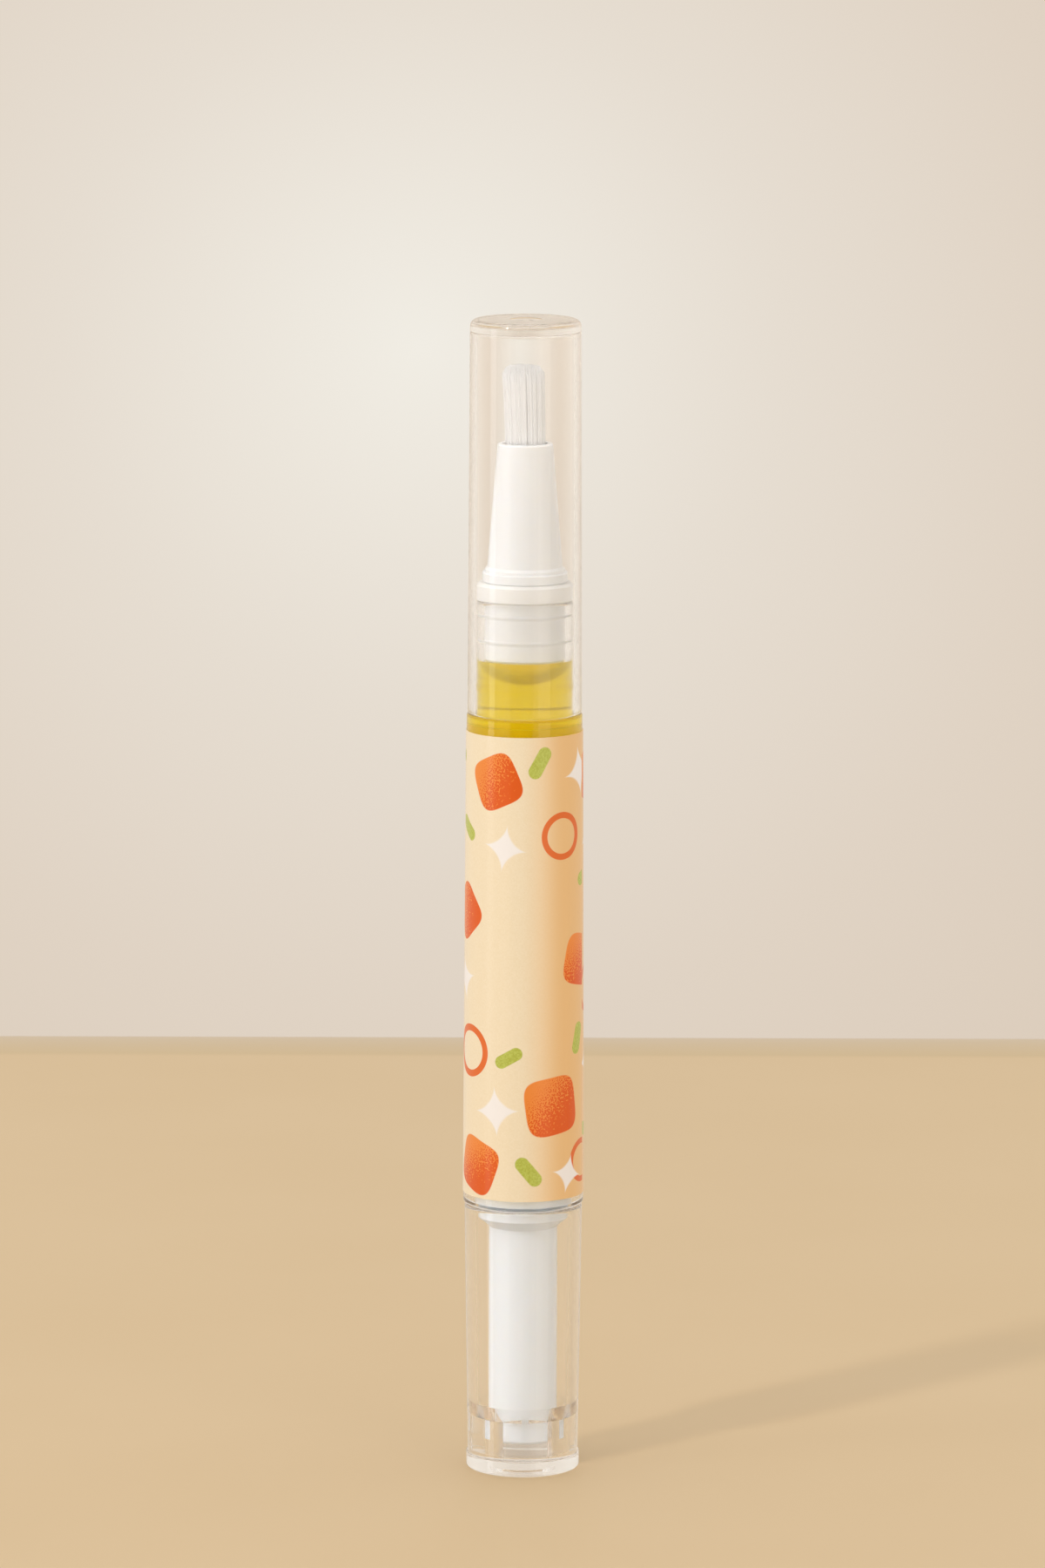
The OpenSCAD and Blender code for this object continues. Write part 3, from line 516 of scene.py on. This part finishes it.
def make_world():
    """A pale backdrop for the eye, clear plastic and gloss, a dim room for gloss alone, and a fill."""
    world = bpy.data.worlds.new("studio")
    bpy.context.scene.world = world
    world.use_nodes = True
    tree = world.node_tree
    tree.nodes.clear()
    way = add(tree, "ShaderNodeTexCoord").outputs["Generated"]
    gap = add(tree, "ShaderNodeVectorMath", {0: way, 1: BACKDROP_CENTRE},
              operation="DISTANCE").outputs["Value"]
    ramp = add(tree, "ShaderNodeValToRGB", {0: gap})
    stops = ramp.color_ramp.elements
    while len(stops) < len(BACKDROP_STOPS):
        stops.new(1.0)
    for stop, (position, code) in zip(stops, BACKDROP_STOPS):
        stop.position = position
        stop.color = tint(code)
    seen = add(tree, "ShaderNodeBackground", {"Color": ramp.outputs[0], "Strength": 1.0}).outputs[0]
    fill = add(tree, "ShaderNodeBackground", {
        "Color": tint(FILL_COLOUR), "Strength": FILL_STRENGTH}).outputs[0]
    room = add(tree, "ShaderNodeBackground", {"Color": tint(DIM_ROOM_COLOUR), "Strength": 1.0}).outputs[0]

    path = add(tree, "ShaderNodeLightPath").outputs
    mirrored = add(tree, "ShaderNodeMath", {0: path["Is Glossy Ray"], 1: path["Is Transmission Ray"]},
                   operation="MAXIMUM").outputs[0]
    shown = add(tree, "ShaderNodeMath", {0: path["Is Camera Ray"], 1: mirrored},
                operation="MAXIMUM").outputs[0]
    mixed = add(tree, "ShaderNodeMixShader", {0: shown, 1: fill, 2: seen}).outputs[0]
    toward = add(tree, "ShaderNodeVectorMath", {0: way, 1: DIM_ROOM_WAY},
                 operation="DOT_PRODUCT").outputs["Value"]
    in_room = add(tree, "ShaderNodeMapRange", {
        "Value": toward, 1: DIM_ROOM_EDGE[0], 2: DIM_ROOM_EDGE[1]}).outputs[0]
    reflected = add(tree, "ShaderNodeMath", {0: path["Is Glossy Ray"], 1: path["Is Transmission Ray"]},
                    operation="SUBTRACT", use_clamp=True).outputs[0]
    dimmed = add(tree, "ShaderNodeMath", {0: in_room, 1: reflected}, operation="MULTIPLY").outputs[0]
    final = add(tree, "ShaderNodeMixShader", {0: dimmed, 1: mixed, 2: room}).outputs[0]
    add(tree, "ShaderNodeOutputWorld", {"Surface": final})


# Turned pieces

SEGMENTS = 600
HEXAGON_SIDES = 6
HELD_FROM_MM = 1.0
HOLD_MM = 0.05
ARC_STEPS = 8
EDGE_MM = 0.3
EDGE_STEPS = 5


def box_mm(node):
    """A CAD node's lowest and highest corners in millimetres."""
    low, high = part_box(node)
    return low / MM, high / MM


def ring_points(radius_mm, height_mm, hexagon_turn_deg=None):
    """One ring round z: a circle, or a hexagon of that inner radius, turned by an angle."""
    if radius_mm == 0:
        return [(0, 0, height_mm * MM)]
    points = []
    for i in range(SEGMENTS):
        turn = math.tau * i / SEGMENTS
        out = radius_mm
        if hexagon_turn_deg is not None:
            side = math.tau / HEXAGON_SIDES
            out = radius_mm / math.cos((turn % side) - side / 2)
            turn += math.radians(hexagon_turn_deg)
        points.append((out * MM * math.cos(turn), out * MM * math.sin(turn), height_mm * MM))
    return points


def held(start, end):
    """The start of an outline's line, and on a long one a ring near each end to keep its shading true."""
    length = math.dist(start[:2], end[:2])
    if length < HELD_FROM_MM or len(start) != len(end):
        return [start]
    rings = [start]
    for share in (HOLD_MM / length, 1 - HOLD_MM / length):
        radius = start[0] + (end[0] - start[0]) * share
        height = start[1] + (end[1] - start[1]) * share
        rings.append((radius, height, *start[2:]))
    return rings


def turned(name, outline_mm, material, closed=False):
    """A solid turned round z from an outline in millimetres, which ends on the axis or closes into a ring.

    A point of the outline is a radius and a height, and for a hexagon also its turn in degrees.
    """
    points = []
    rows = []
    spots = [spot for pair in zip(outline_mm, outline_mm[1:]) for spot in held(*pair)]
    spots += held(outline_mm[-1], outline_mm[0]) if closed else [outline_mm[-1]]
    for spot in spots:
        ring = ring_points(*spot)
        first = len(points)
        points += ring
        rows.append([first + (i if len(ring) > 1 else 0) for i in range(SEGMENTS)])
    faces = []
    for low, high in zip(rows, rows[1:] + rows[:1] if closed else rows[1:]):
        for i in range(SEGMENTS):
            j = (i + 1) % SEGMENTS
            faces.append(tuple(dict.fromkeys((low[i], low[j], high[j], high[i]))))
    return new_piece(name, points, faces, material)


def arc(centre, radius, from_deg, to_deg, steps=ARC_STEPS):
    """Points of an arc in radius and height, both ends among them."""
    turns = [math.radians(from_deg + (to_deg - from_deg) * i / steps) for i in range(steps + 1)]
    return [(centre[0] + radius * math.cos(turn), centre[1] + radius * math.sin(turn)) for turn in turns]


def round_edge(corner, up, radius=EDGE_MM):
    """An outer edge rounded off at an outline's corner; up is 1 for a top edge and -1 for a bottom edge."""
    centre = (corner[0] - radius, corner[1] - up * radius)
    from_deg = 0 if up > 0 else -90
    return arc(centre, radius, from_deg, from_deg + 90, EDGE_STEPS)


# The cap

CAP_TOP_RADIUS_MM = 6.4
CAP_BORE_MM = 5.75
CAP_CEILING_RADIUS_MM = 5.6
CAP_ROOF_MM = 1.4
CAP_ROUND_MM = 0.8
DIMPLE_RADIUS_MM = 1.9
PIP_RADIUS_MM = 0.475


def make_cap(material):
    """The cap: a clear tapered cup with a rounded top edge and the gate's dimple."""
    low, high = box_mm("cap")
    ceiling = high.z - CAP_ROOF_MM
    dimple = high.z - EDGE_MM
    pip = high.z - EDGE_MM / 2
    outline = [
        (0, ceiling),
        *arc((CAP_CEILING_RADIUS_MM - EDGE_MM, ceiling - EDGE_MM), EDGE_MM, 90, 0),
        (CAP_BORE_MM, low.z),
        *round_edge((high.x, low.z), -1),
        *arc((CAP_TOP_RADIUS_MM - CAP_ROUND_MM, high.z - CAP_ROUND_MM), CAP_ROUND_MM, 0, 90),
        (DIMPLE_RADIUS_MM, high.z),
        (DIMPLE_RADIUS_MM, dimple),
        (PIP_RADIUS_MM, dimple),
        (PIP_RADIUS_MM, pip),
        (0, pip)]
    cap = turned("cap_shell", outline, material)
    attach(cap, "cap")
    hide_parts("cap")


# The barrel

BARREL_LOW, BARREL_HIGH = box_mm("barrel")
BARREL_TOP_RADIUS_MM = 6.7
BARREL_SHOULDER_MM = 89.5
BARREL_ROOF_MM = 88.3
BORE_MM = 5.75
NECK_RADIUS_MM = 5.55
NECK_BORE_MM = 4.7
NECK_BEAD_MM = 92.8
NECK_BEAD_RISE_MM = 0.12
NECK_BEAD_HALF_MM = 0.5

RIB_COUNT = 4
RIB_TURN_DEG = 45
RIB_WIDE_MM = 0.9
RIB_HIGH_MM = 0.3
RIB_SEAT_MM = 0.03
RIB_SPAN_MM = (33.2, 45.2)
BOX_FACES = ((0, 2, 3, 1), (4, 5, 7, 6), (0, 1, 5, 4), (1, 3, 7, 5), (3, 2, 6, 7), (2, 0, 4, 6))


def barrel_radius(height_mm):
    """Radius of the barrel's tapered outside at a height, in millimetres."""
    share = (height_mm - BARREL_LOW.z) / (BARREL_SHOULDER_MM - BARREL_LOW.z)
    return BARREL_HIGH.x + (BARREL_TOP_RADIUS_MM - BARREL_HIGH.x) * share


def make_barrel(material):
    """The barrel: a clear tapered tube with a solid shoulder and a beaded neck."""
    foot = BARREL_LOW.z
    mouth = BARREL_HIGH.z
    shoulder = BARREL_SHOULDER_MM
    bead_round = (NECK_BEAD_HALF_MM ** 2 + NECK_BEAD_RISE_MM ** 2) / (2 * NECK_BEAD_RISE_MM)
    bead_deg = math.degrees(math.asin(NECK_BEAD_HALF_MM / bead_round))
    bead_centre = (NECK_RADIUS_MM + NECK_BEAD_RISE_MM - bead_round, NECK_BEAD_MM)
    outline = [
        (BORE_MM, BARREL_ROOF_MM),
        (BORE_MM, foot),
        *round_edge((barrel_radius(foot + EDGE_MM), foot), -1),
        *round_edge((barrel_radius(shoulder - EDGE_MM), shoulder), 1),
        (NECK_RADIUS_MM, shoulder),
        *arc(bead_centre, bead_round, -bead_deg, bead_deg, EDGE_STEPS),
        *round_edge((NECK_RADIUS_MM, mouth), 1),
        (NECK_BORE_MM, mouth),
        (NECK_BORE_MM, BARREL_ROOF_MM)]
    barrel = turned("barrel_shell", outline, material, closed=True)
    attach(barrel, "barrel")
    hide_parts("barrel")


def make_ribs(material):
    """The four ribs in the barrel's foot that keep the nut and the ratchet ring from turning."""
    points = []
    faces = []
    for i in range(RIB_COUNT):
        turn = Matrix.Rotation(math.radians(RIB_TURN_DEG) + math.tau * i / RIB_COUNT, 3, "Z")
        faces += [[len(points) + corner for corner in face] for face in BOX_FACES]
        points += [turn @ Vector((out, side, height)) * MM for height in RIB_SPAN_MM
                   for side in (-RIB_WIDE_MM / 2, RIB_WIDE_MM / 2)
                   for out in (BORE_MM - RIB_HIGH_MM, BORE_MM - RIB_SEAT_MM)]
    ribs = new_piece("barrel_ribs", points, faces, material)
    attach(ribs, "barrel")


# The knob

KNOB_TOP_MM = box_mm("knob")[1].z
KNOB_FOOT_RADIUS_MM = 6.45
KNOB_TOP_RADIUS_MM = 6.85
KNOB_BASE_RADIUS_MM = 6.6
KNOB_STEP_MM = KNOB_BASE_RADIUS_MM - KNOB_FOOT_RADIUS_MM
KNOB_BASE_MM = 1.8
KNOB_WALL_MM = 1.3
KNOB_FLOOR_MM = 1.9
SOCKET_TOP_MM = 6.2
SOCKET_LEAD_MM = 7.9
SOCKET_LEAD_RADIUS_MM = 4.6
SOCKET_FLAT_MM = 3.98
SOCKET_TURN_DEG = 4
RECESS_RADIUS_MM = 2.4
RECESS_DEPTH_MM = 0.2


def knob_radius(height_mm):
    """Radius of the knob's tapered outside at a height, in millimetres."""
    share = (height_mm - KNOB_BASE_MM) / (KNOB_TOP_MM - KNOB_BASE_MM)
    return KNOB_FOOT_RADIUS_MM + (KNOB_TOP_RADIUS_MM - KNOB_FOOT_RADIUS_MM) * share


def make_knob(material):
    """The knob: a thick clear tube on a disc, with a hexagonal socket that grips the white core."""
    outline = [
        (0, RECESS_DEPTH_MM),
        (RECESS_RADIUS_MM, RECESS_DEPTH_MM),
        (RECESS_RADIUS_MM, 0),
        *round_edge((KNOB_BASE_RADIUS_MM, 0), -1),
        *round_edge((KNOB_BASE_RADIUS_MM, KNOB_BASE_MM), 1, KNOB_STEP_MM / 2),
        (KNOB_FOOT_RADIUS_MM, KNOB_BASE_MM),
        *round_edge((KNOB_TOP_RADIUS_MM, KNOB_TOP_MM), 1),
        (KNOB_TOP_RADIUS_MM - KNOB_WALL_MM, KNOB_TOP_MM),
        (knob_radius(SOCKET_LEAD_MM) - KNOB_WALL_MM, SOCKET_LEAD_MM),
        (SOCKET_LEAD_RADIUS_MM, SOCKET_TOP_MM),
        (SOCKET_FLAT_MM, SOCKET_TOP_MM, SOCKET_TURN_DEG),
        (SOCKET_FLAT_MM, KNOB_FLOOR_MM, SOCKET_TURN_DEG),
        (0, KNOB_FLOOR_MM)]
    knob = turned("knob_shell", outline, material)
    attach(knob, "knob")
    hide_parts("knob")


# The film

FILM_GAP_MM = 0.005
FILM_MM = 0.075
FILM_START_DEG = 50
FILM_END_DEG = 434
FILM_RISE_DEG = (402, 410)
FILM_STEPS = 320

# The film's section has four corners, and the last of its four sides is its back
FILM_CORNERS = 4
FILM_BACK_SIDE = 3


def film_lift_mm(turn_deg):
    """How far the film's back stands off the barrel: it rises smoothly over its own start."""
    rise_start, rise_end = FILM_RISE_DEG
    share = min(max((turn_deg - rise_start) / (rise_end - rise_start), 0), 1)
    return FILM_GAP_MM + (FILM_MM + FILM_GAP_MM) * share * share * (3 - 2 * share)


def make_film(material, backing):
    """The printed film as one strip wound round the barrel, with its free end lapped over its start."""
    low, high = box_mm("label_wrap")
    points = []
    faces = []
    for i in range(FILM_STEPS + 1):
        turn_deg = FILM_START_DEG + (FILM_END_DEG - FILM_START_DEG) * i / FILM_STEPS
        turn = math.radians(turn_deg)
        back = film_lift_mm(turn_deg)
        front = back + FILM_MM
        for height, out in ((low.z, back), (low.z, front), (high.z, front), (high.z, back)):
            radius = barrel_radius(height) + out
            points.append((radius * math.sin(turn) * MM, -radius * math.cos(turn) * MM, height * MM))
    for i in range(FILM_STEPS):
        for j in range(FILM_CORNERS):
            here = FILM_CORNERS * i + j
            beside = FILM_CORNERS * i + (j + 1) % FILM_CORNERS
            faces.append((here, beside, beside + FILM_CORNERS, here + FILM_CORNERS))
    last = FILM_CORNERS * FILM_STEPS
    faces += [tuple(reversed(range(FILM_CORNERS))), tuple(range(last, last + FILM_CORNERS))]
    film = new_piece("label_film", points, faces, material, backing)
    for i in range(FILM_STEPS):
        film.data.polygons[FILM_CORNERS * i + FILM_BACK_SIDE].material_index = 1
    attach(film, "barrel")
    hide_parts("label_wrap")


# The oil

OIL_SOAK_MM = 0.04
BUBBLE_WIDE_MM = 7.4
BUBBLE_DEEP_MM = 2.9
BUBBLE_STEPS = 12


def make_oil(material):
    """The oil as one body from the piston to the plug, wetting every wall, with a bubble under the plug."""
    column_low, column_high = box_mm("barrel_oil")
    neck_high = box_mm("neck_oil")[1]
    foot = column_low.z - OIL_SOAK_MM
    roof = column_high.z + OIL_SOAK_MM
    top = neck_high.z + OIL_SOAK_MM
    wall = column_high.x + OIL_SOAK_MM
    neck = neck_high.x + OIL_SOAK_MM
    half_bubble = BUBBLE_WIDE_MM / 2
    outline = [(0, foot), (wall, foot), (wall, roof), (neck, roof), (neck, top), (half_bubble, top)]
    for i in range(1, BUBBLE_STEPS):
        turn = math.radians(90 * i / BUBBLE_STEPS)
        outline.append((half_bubble * math.cos(turn), top - BUBBLE_DEEP_MM * math.sin(turn)))
    outline.append((0, top - BUBBLE_DEEP_MM))
    oil = turned("oil", outline, material)
    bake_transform(oil)
    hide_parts("barrel_oil", "neck_oil")


# The brush's tuft

TUFT_WIDE_MM = 4.5
TUFT_DEEP_MM = 3.2
TUFT_LENGTH_MM = 11.5
TUFT_LEAN_MM = -0.3
TUFT_ROUNDING_MM = 0.9
TUFT_UNEVENNESS_MM = 0.3
TUFT_ROOT_LEDGE_MM = 0.35
TUFT_SPREAD = 0.07
TUFT_SIDES = 64
TUFT_SEED = 9
FILAMENT_RADIUS_MM = 0.085
FILAMENT_SPACING_MM = 0.12
FILAMENT_WANDER_MM = 0.12
FILAMENT_SIDES = 6
FILAMENT_STEPS = 7

# As many spots as the spacing lets in, a dome that drops only at the tuft's edge, and a wander that is fine
# enough to send each filament its own way
MOST_SPOTS_PER_M2 = 1e8
DOME_POWER = 7.0
WANDER_WAVES_PER_M = 20000.0


def filament_tree(labels, material):
    """Filaments on an oval, of uneven height, that spread, wander and lean a little towards their tips."""
    tree = bpy.data.node_groups.new("filament_tuft", "GeometryNodeTree")
    tree.interface.new_socket("Tuft", in_out="OUTPUT", socket_type="NodeSocketGeometry")
    for label in labels:
        tree.interface.new_socket(label, in_out="INPUT", socket_type="NodeSocketFloat")
    given = add(tree, "NodeGroupInput").outputs

    # A spot on the oval for each filament
    oval_size = add(tree, "ShaderNodeCombineXYZ", {
        0: given["Half width"], 1: given["Half depth"], 2: 1.0}).outputs[0]
    disc = add(tree, "GeometryNodeMeshCircle", {"Vertices": TUFT_SIDES, "Radius": 1.0},
               fill_type="NGON").outputs[0]
    oval = add(tree, "GeometryNodeTransform", {"Geometry": disc, "Scale": oval_size}).outputs[0]
    spots = add(tree, "GeometryNodeDistributePointsOnFaces", {
        "Mesh": oval, "Distance Min": given["Spacing"], "Density Max": MOST_SPOTS_PER_M2,
        "Seed": TUFT_SEED}, distribute_method="POISSON").outputs["Points"]
    place = add(tree, "GeometryNodeInputPosition").outputs[0]
    rooted = add(tree, "GeometryNodeStoreNamedAttribute", {
        "Geometry": spots, "Name": "root", "Value": place},
        data_type="FLOAT_VECTOR", domain="POINT").outputs[0]

    # Its height, lower by chance and towards the tuft's edge
    share = add(tree, "ShaderNodeVectorMath", {0: place, 1: oval_size}, operation="DIVIDE").outputs[0]
    from_middle = add(tree, "ShaderNodeVectorMath", {0: share}, operation="LENGTH").outputs["Value"]
    edge = add(tree, "ShaderNodeMath", {0: from_middle, 1: DOME_POWER}, operation="POWER").outputs[0]
    rounded = add(tree, "ShaderNodeMath", {0: edge, 1: given["Rounding"]}, operation="MULTIPLY").outputs[0]
    chance = add(tree, "FunctionNodeRandomValue", {"Seed": TUFT_SEED}, data_type="FLOAT").outputs[1]
    uneven = add(tree, "ShaderNodeMath", {0: chance, 1: given["Unevenness"], 2: rounded},
                 operation="MULTIPLY_ADD").outputs[0]
    height = add(tree, "ShaderNodeMath", {0: given["Length"], 1: uneven}, operation="SUBTRACT").outputs[0]

    # A straight rod on each spot
    rod = add(tree, "GeometryNodeMeshCylinder", {
        "Vertices": FILAMENT_SIDES, "Side Segments": FILAMENT_STEPS, "Radius": given["Filament radius"],
        "Depth": 1.0}).outputs["Mesh"]
    raised = add(tree, "GeometryNodeTransform", {"Geometry": rod, "Translation": (0, 0, 0.5)}).outputs[0]
    stretch = add(tree, "ShaderNodeCombineXYZ", {0: 1.0, 1: 1.0, 2: height}).outputs[0]
    copies = add(tree, "GeometryNodeInstanceOnPoints", {
        "Points": rooted, "Instance": raised, "Scale": stretch}).outputs[0]
    real = add(tree, "GeometryNodeRealizeInstances", {"Geometry": copies}).outputs[0]

    # The bend, which grows with the square of the height
    root = add(tree, "GeometryNodeInputNamedAttribute", {"Name": "root"},
               data_type="FLOAT_VECTOR").outputs[0]
    level = add(tree, "ShaderNodeSeparateXYZ", {0: place}).outputs["Z"]
    climb = add(tree, "ShaderNodeMath", {0: level, 1: given["Length"]}, operation="DIVIDE").outputs[0]
    bend = add(tree, "ShaderNodeMath", {0: climb, 1: 2.0}, operation="POWER").outputs[0]
    spread = add(tree, "ShaderNodeVectorMath", {0: root, "Scale": given["Spread"]},
                 operation="SCALE").outputs[0]
    noise = add(tree, "ShaderNodeTexNoise", {
        "Vector": root, "Scale": WANDER_WAVES_PER_M, "Detail": 1.0}).outputs["Color"]
    centred = add(tree, "ShaderNodeVectorMath", {0: noise, 1: (0.5, 0.5, 0.5)},
                  operation="SUBTRACT").outputs[0]
    wander = add(tree, "ShaderNodeVectorMath", {0: centred, "Scale": given["Wander"]},
                 operation="SCALE").outputs[0]
    level_wander = add(tree, "ShaderNodeVectorMath", {0: wander, 1: (1, 1, 0)},
                       operation="MULTIPLY").outputs[0]
    lean = add(tree, "ShaderNodeCombineXYZ", {0: given["Lean"]}).outputs[0]
    drift = add(tree, "ShaderNodeVectorMath", {0: spread, 1: level_wander}, operation="ADD").outputs[0]
    whole = add(tree, "ShaderNodeVectorMath", {0: drift, 1: lean}, operation="ADD").outputs[0]
    shift = add(tree, "ShaderNodeVectorMath", {0: whole, "Scale": bend}, operation="SCALE").outputs[0]
    bent = add(tree, "GeometryNodeSetPosition", {"Geometry": real, "Offset": shift}).outputs[0]

    # The melted root, a little wider than the tuft
    ledge = (TUFT_ROOT_LEDGE_MM * MM, TUFT_ROOT_LEDGE_MM * MM, 0)
    root_size = add(tree, "ShaderNodeVectorMath", {0: oval_size, 1: ledge}, operation="ADD").outputs[0]
    root_rod = add(tree, "GeometryNodeMeshCylinder", {
        "Vertices": TUFT_SIDES, "Radius": 1.0, "Depth": given["Root depth"]}).outputs["Mesh"]
    half_down = add(tree, "ShaderNodeMath", {0: given["Root depth"], 1: -0.5},
                    operation="MULTIPLY").outputs[0]
    sunk = add(tree, "ShaderNodeCombineXYZ", {2: half_down}).outputs[0]
    plug = add(tree, "GeometryNodeTransform", {
        "Geometry": root_rod, "Translation": sunk, "Scale": root_size}).outputs[0]

    joined = add(tree, "GeometryNodeJoinGeometry")
    tree.links.new(bent, joined.inputs[0])
    tree.links.new(plug, joined.inputs[0])
    smooth = add(tree, "GeometryNodeSetShadeSmooth", {"Geometry": joined.outputs[0]}).outputs[0]
    stand = add(tree, "ShaderNodeCombineXYZ", {2: given["Root height"]}).outputs[0]
    placed = add(tree, "GeometryNodeTransform", {"Geometry": smooth, "Translation": stand}).outputs[0]
    coated = add(tree, "GeometryNodeSetMaterial", {"Geometry": placed, "Material": material}).outputs[0]
    add(tree, "NodeGroupOutput", {"Tuft": coated})
    return tree


def grow_tuft(material):
    """The brush's nylon tuft, melted together at its root inside the cone."""
    low, high = box_mm("brush_bristles")
    root_top = high.z - TUFT_LENGTH_MM
    sizes = {
        "Half width": TUFT_WIDE_MM / 2 * MM,
        "Half depth": TUFT_DEEP_MM / 2 * MM,
        "Root height": root_top * MM,
        "Root depth": (root_top - low.z) * MM,
        "Length": TUFT_LENGTH_MM * MM,
        "Filament radius": FILAMENT_RADIUS_MM * MM,
        "Spacing": FILAMENT_SPACING_MM * MM,
        "Spread": TUFT_SPREAD,
        "Lean": TUFT_LEAN_MM * MM,
        "Wander": FILAMENT_WANDER_MM * MM,
        "Rounding": TUFT_ROUNDING_MM * MM,
        "Unevenness": TUFT_UNEVENNESS_MM * MM}
    carrier = bpy.data.objects.new("tuft_carrier", bpy.data.meshes.new("tuft_carrier"))
    bpy.context.scene.collection.objects.link(carrier)
    modifier = carrier.modifiers.new("filaments", "NODES")
    modifier.node_group = filament_tree(sizes, material)
    for socket in modifier.node_group.interface.items_tree:
        if socket.in_out == "INPUT":
            modifier[socket.identifier] = sizes[socket.name]
    mesh = bpy.data.meshes.new_from_object(carrier.evaluated_get(bpy.context.evaluated_depsgraph_get()))
    mesh.name = "bristle_tuft"
    bpy.data.objects.remove(carrier)
    tuft = bpy.data.objects.new("bristle_tuft", mesh)
    bpy.context.scene.collection.objects.link(tuft)
    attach(tuft, "barrel")
    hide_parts("brush_bristles")


def dress(node, material):
    """Gives a CAD node its material."""
    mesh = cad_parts[node].data
    mesh.materials.clear()
    mesh.materials.append(material)


place_camera()
make_world()
make_table()
for lamp in LAMPS:
    add_softbox(*lamp)

make_cap(clear_styrene("clear_styrene_cap", haze=0.045))
barrel_styrene = clear_styrene("clear_styrene_barrel", haze=0.01)
make_barrel(barrel_styrene)
make_ribs(barrel_styrene)
make_knob(clear_styrene("clear_styrene_knob", haze=0.02, far_shade=tint("#D6D0C8")))
make_oil(yellow_oil("almond_oil"))
make_film(printed_film("printed_film"), film_backing("film_backing"))
grow_tuft(nylon_filament("nylon_filament"))
dress("drive_core", satin_white_plastic("white_polypropylene", "#F4FAFF"))
dress("brush_cone", satin_white_plastic("white_polypropylene_cone", "#EEEFEF"))
dress("neck_connector", natural_polypropylene("natural_polypropylene"))
for inner in ("click_ring", "ratchet_ring", "thread_nut", "feed_tube"):
    dress(inner, natural_polypropylene("natural_polypropylene_" + inner))
dress("screw_rod", satin_white_plastic("white_acetal", "#F2F1EE"))
dress("piston", satin_white_plastic("soft_polyethylene", "#EDEFF0"))
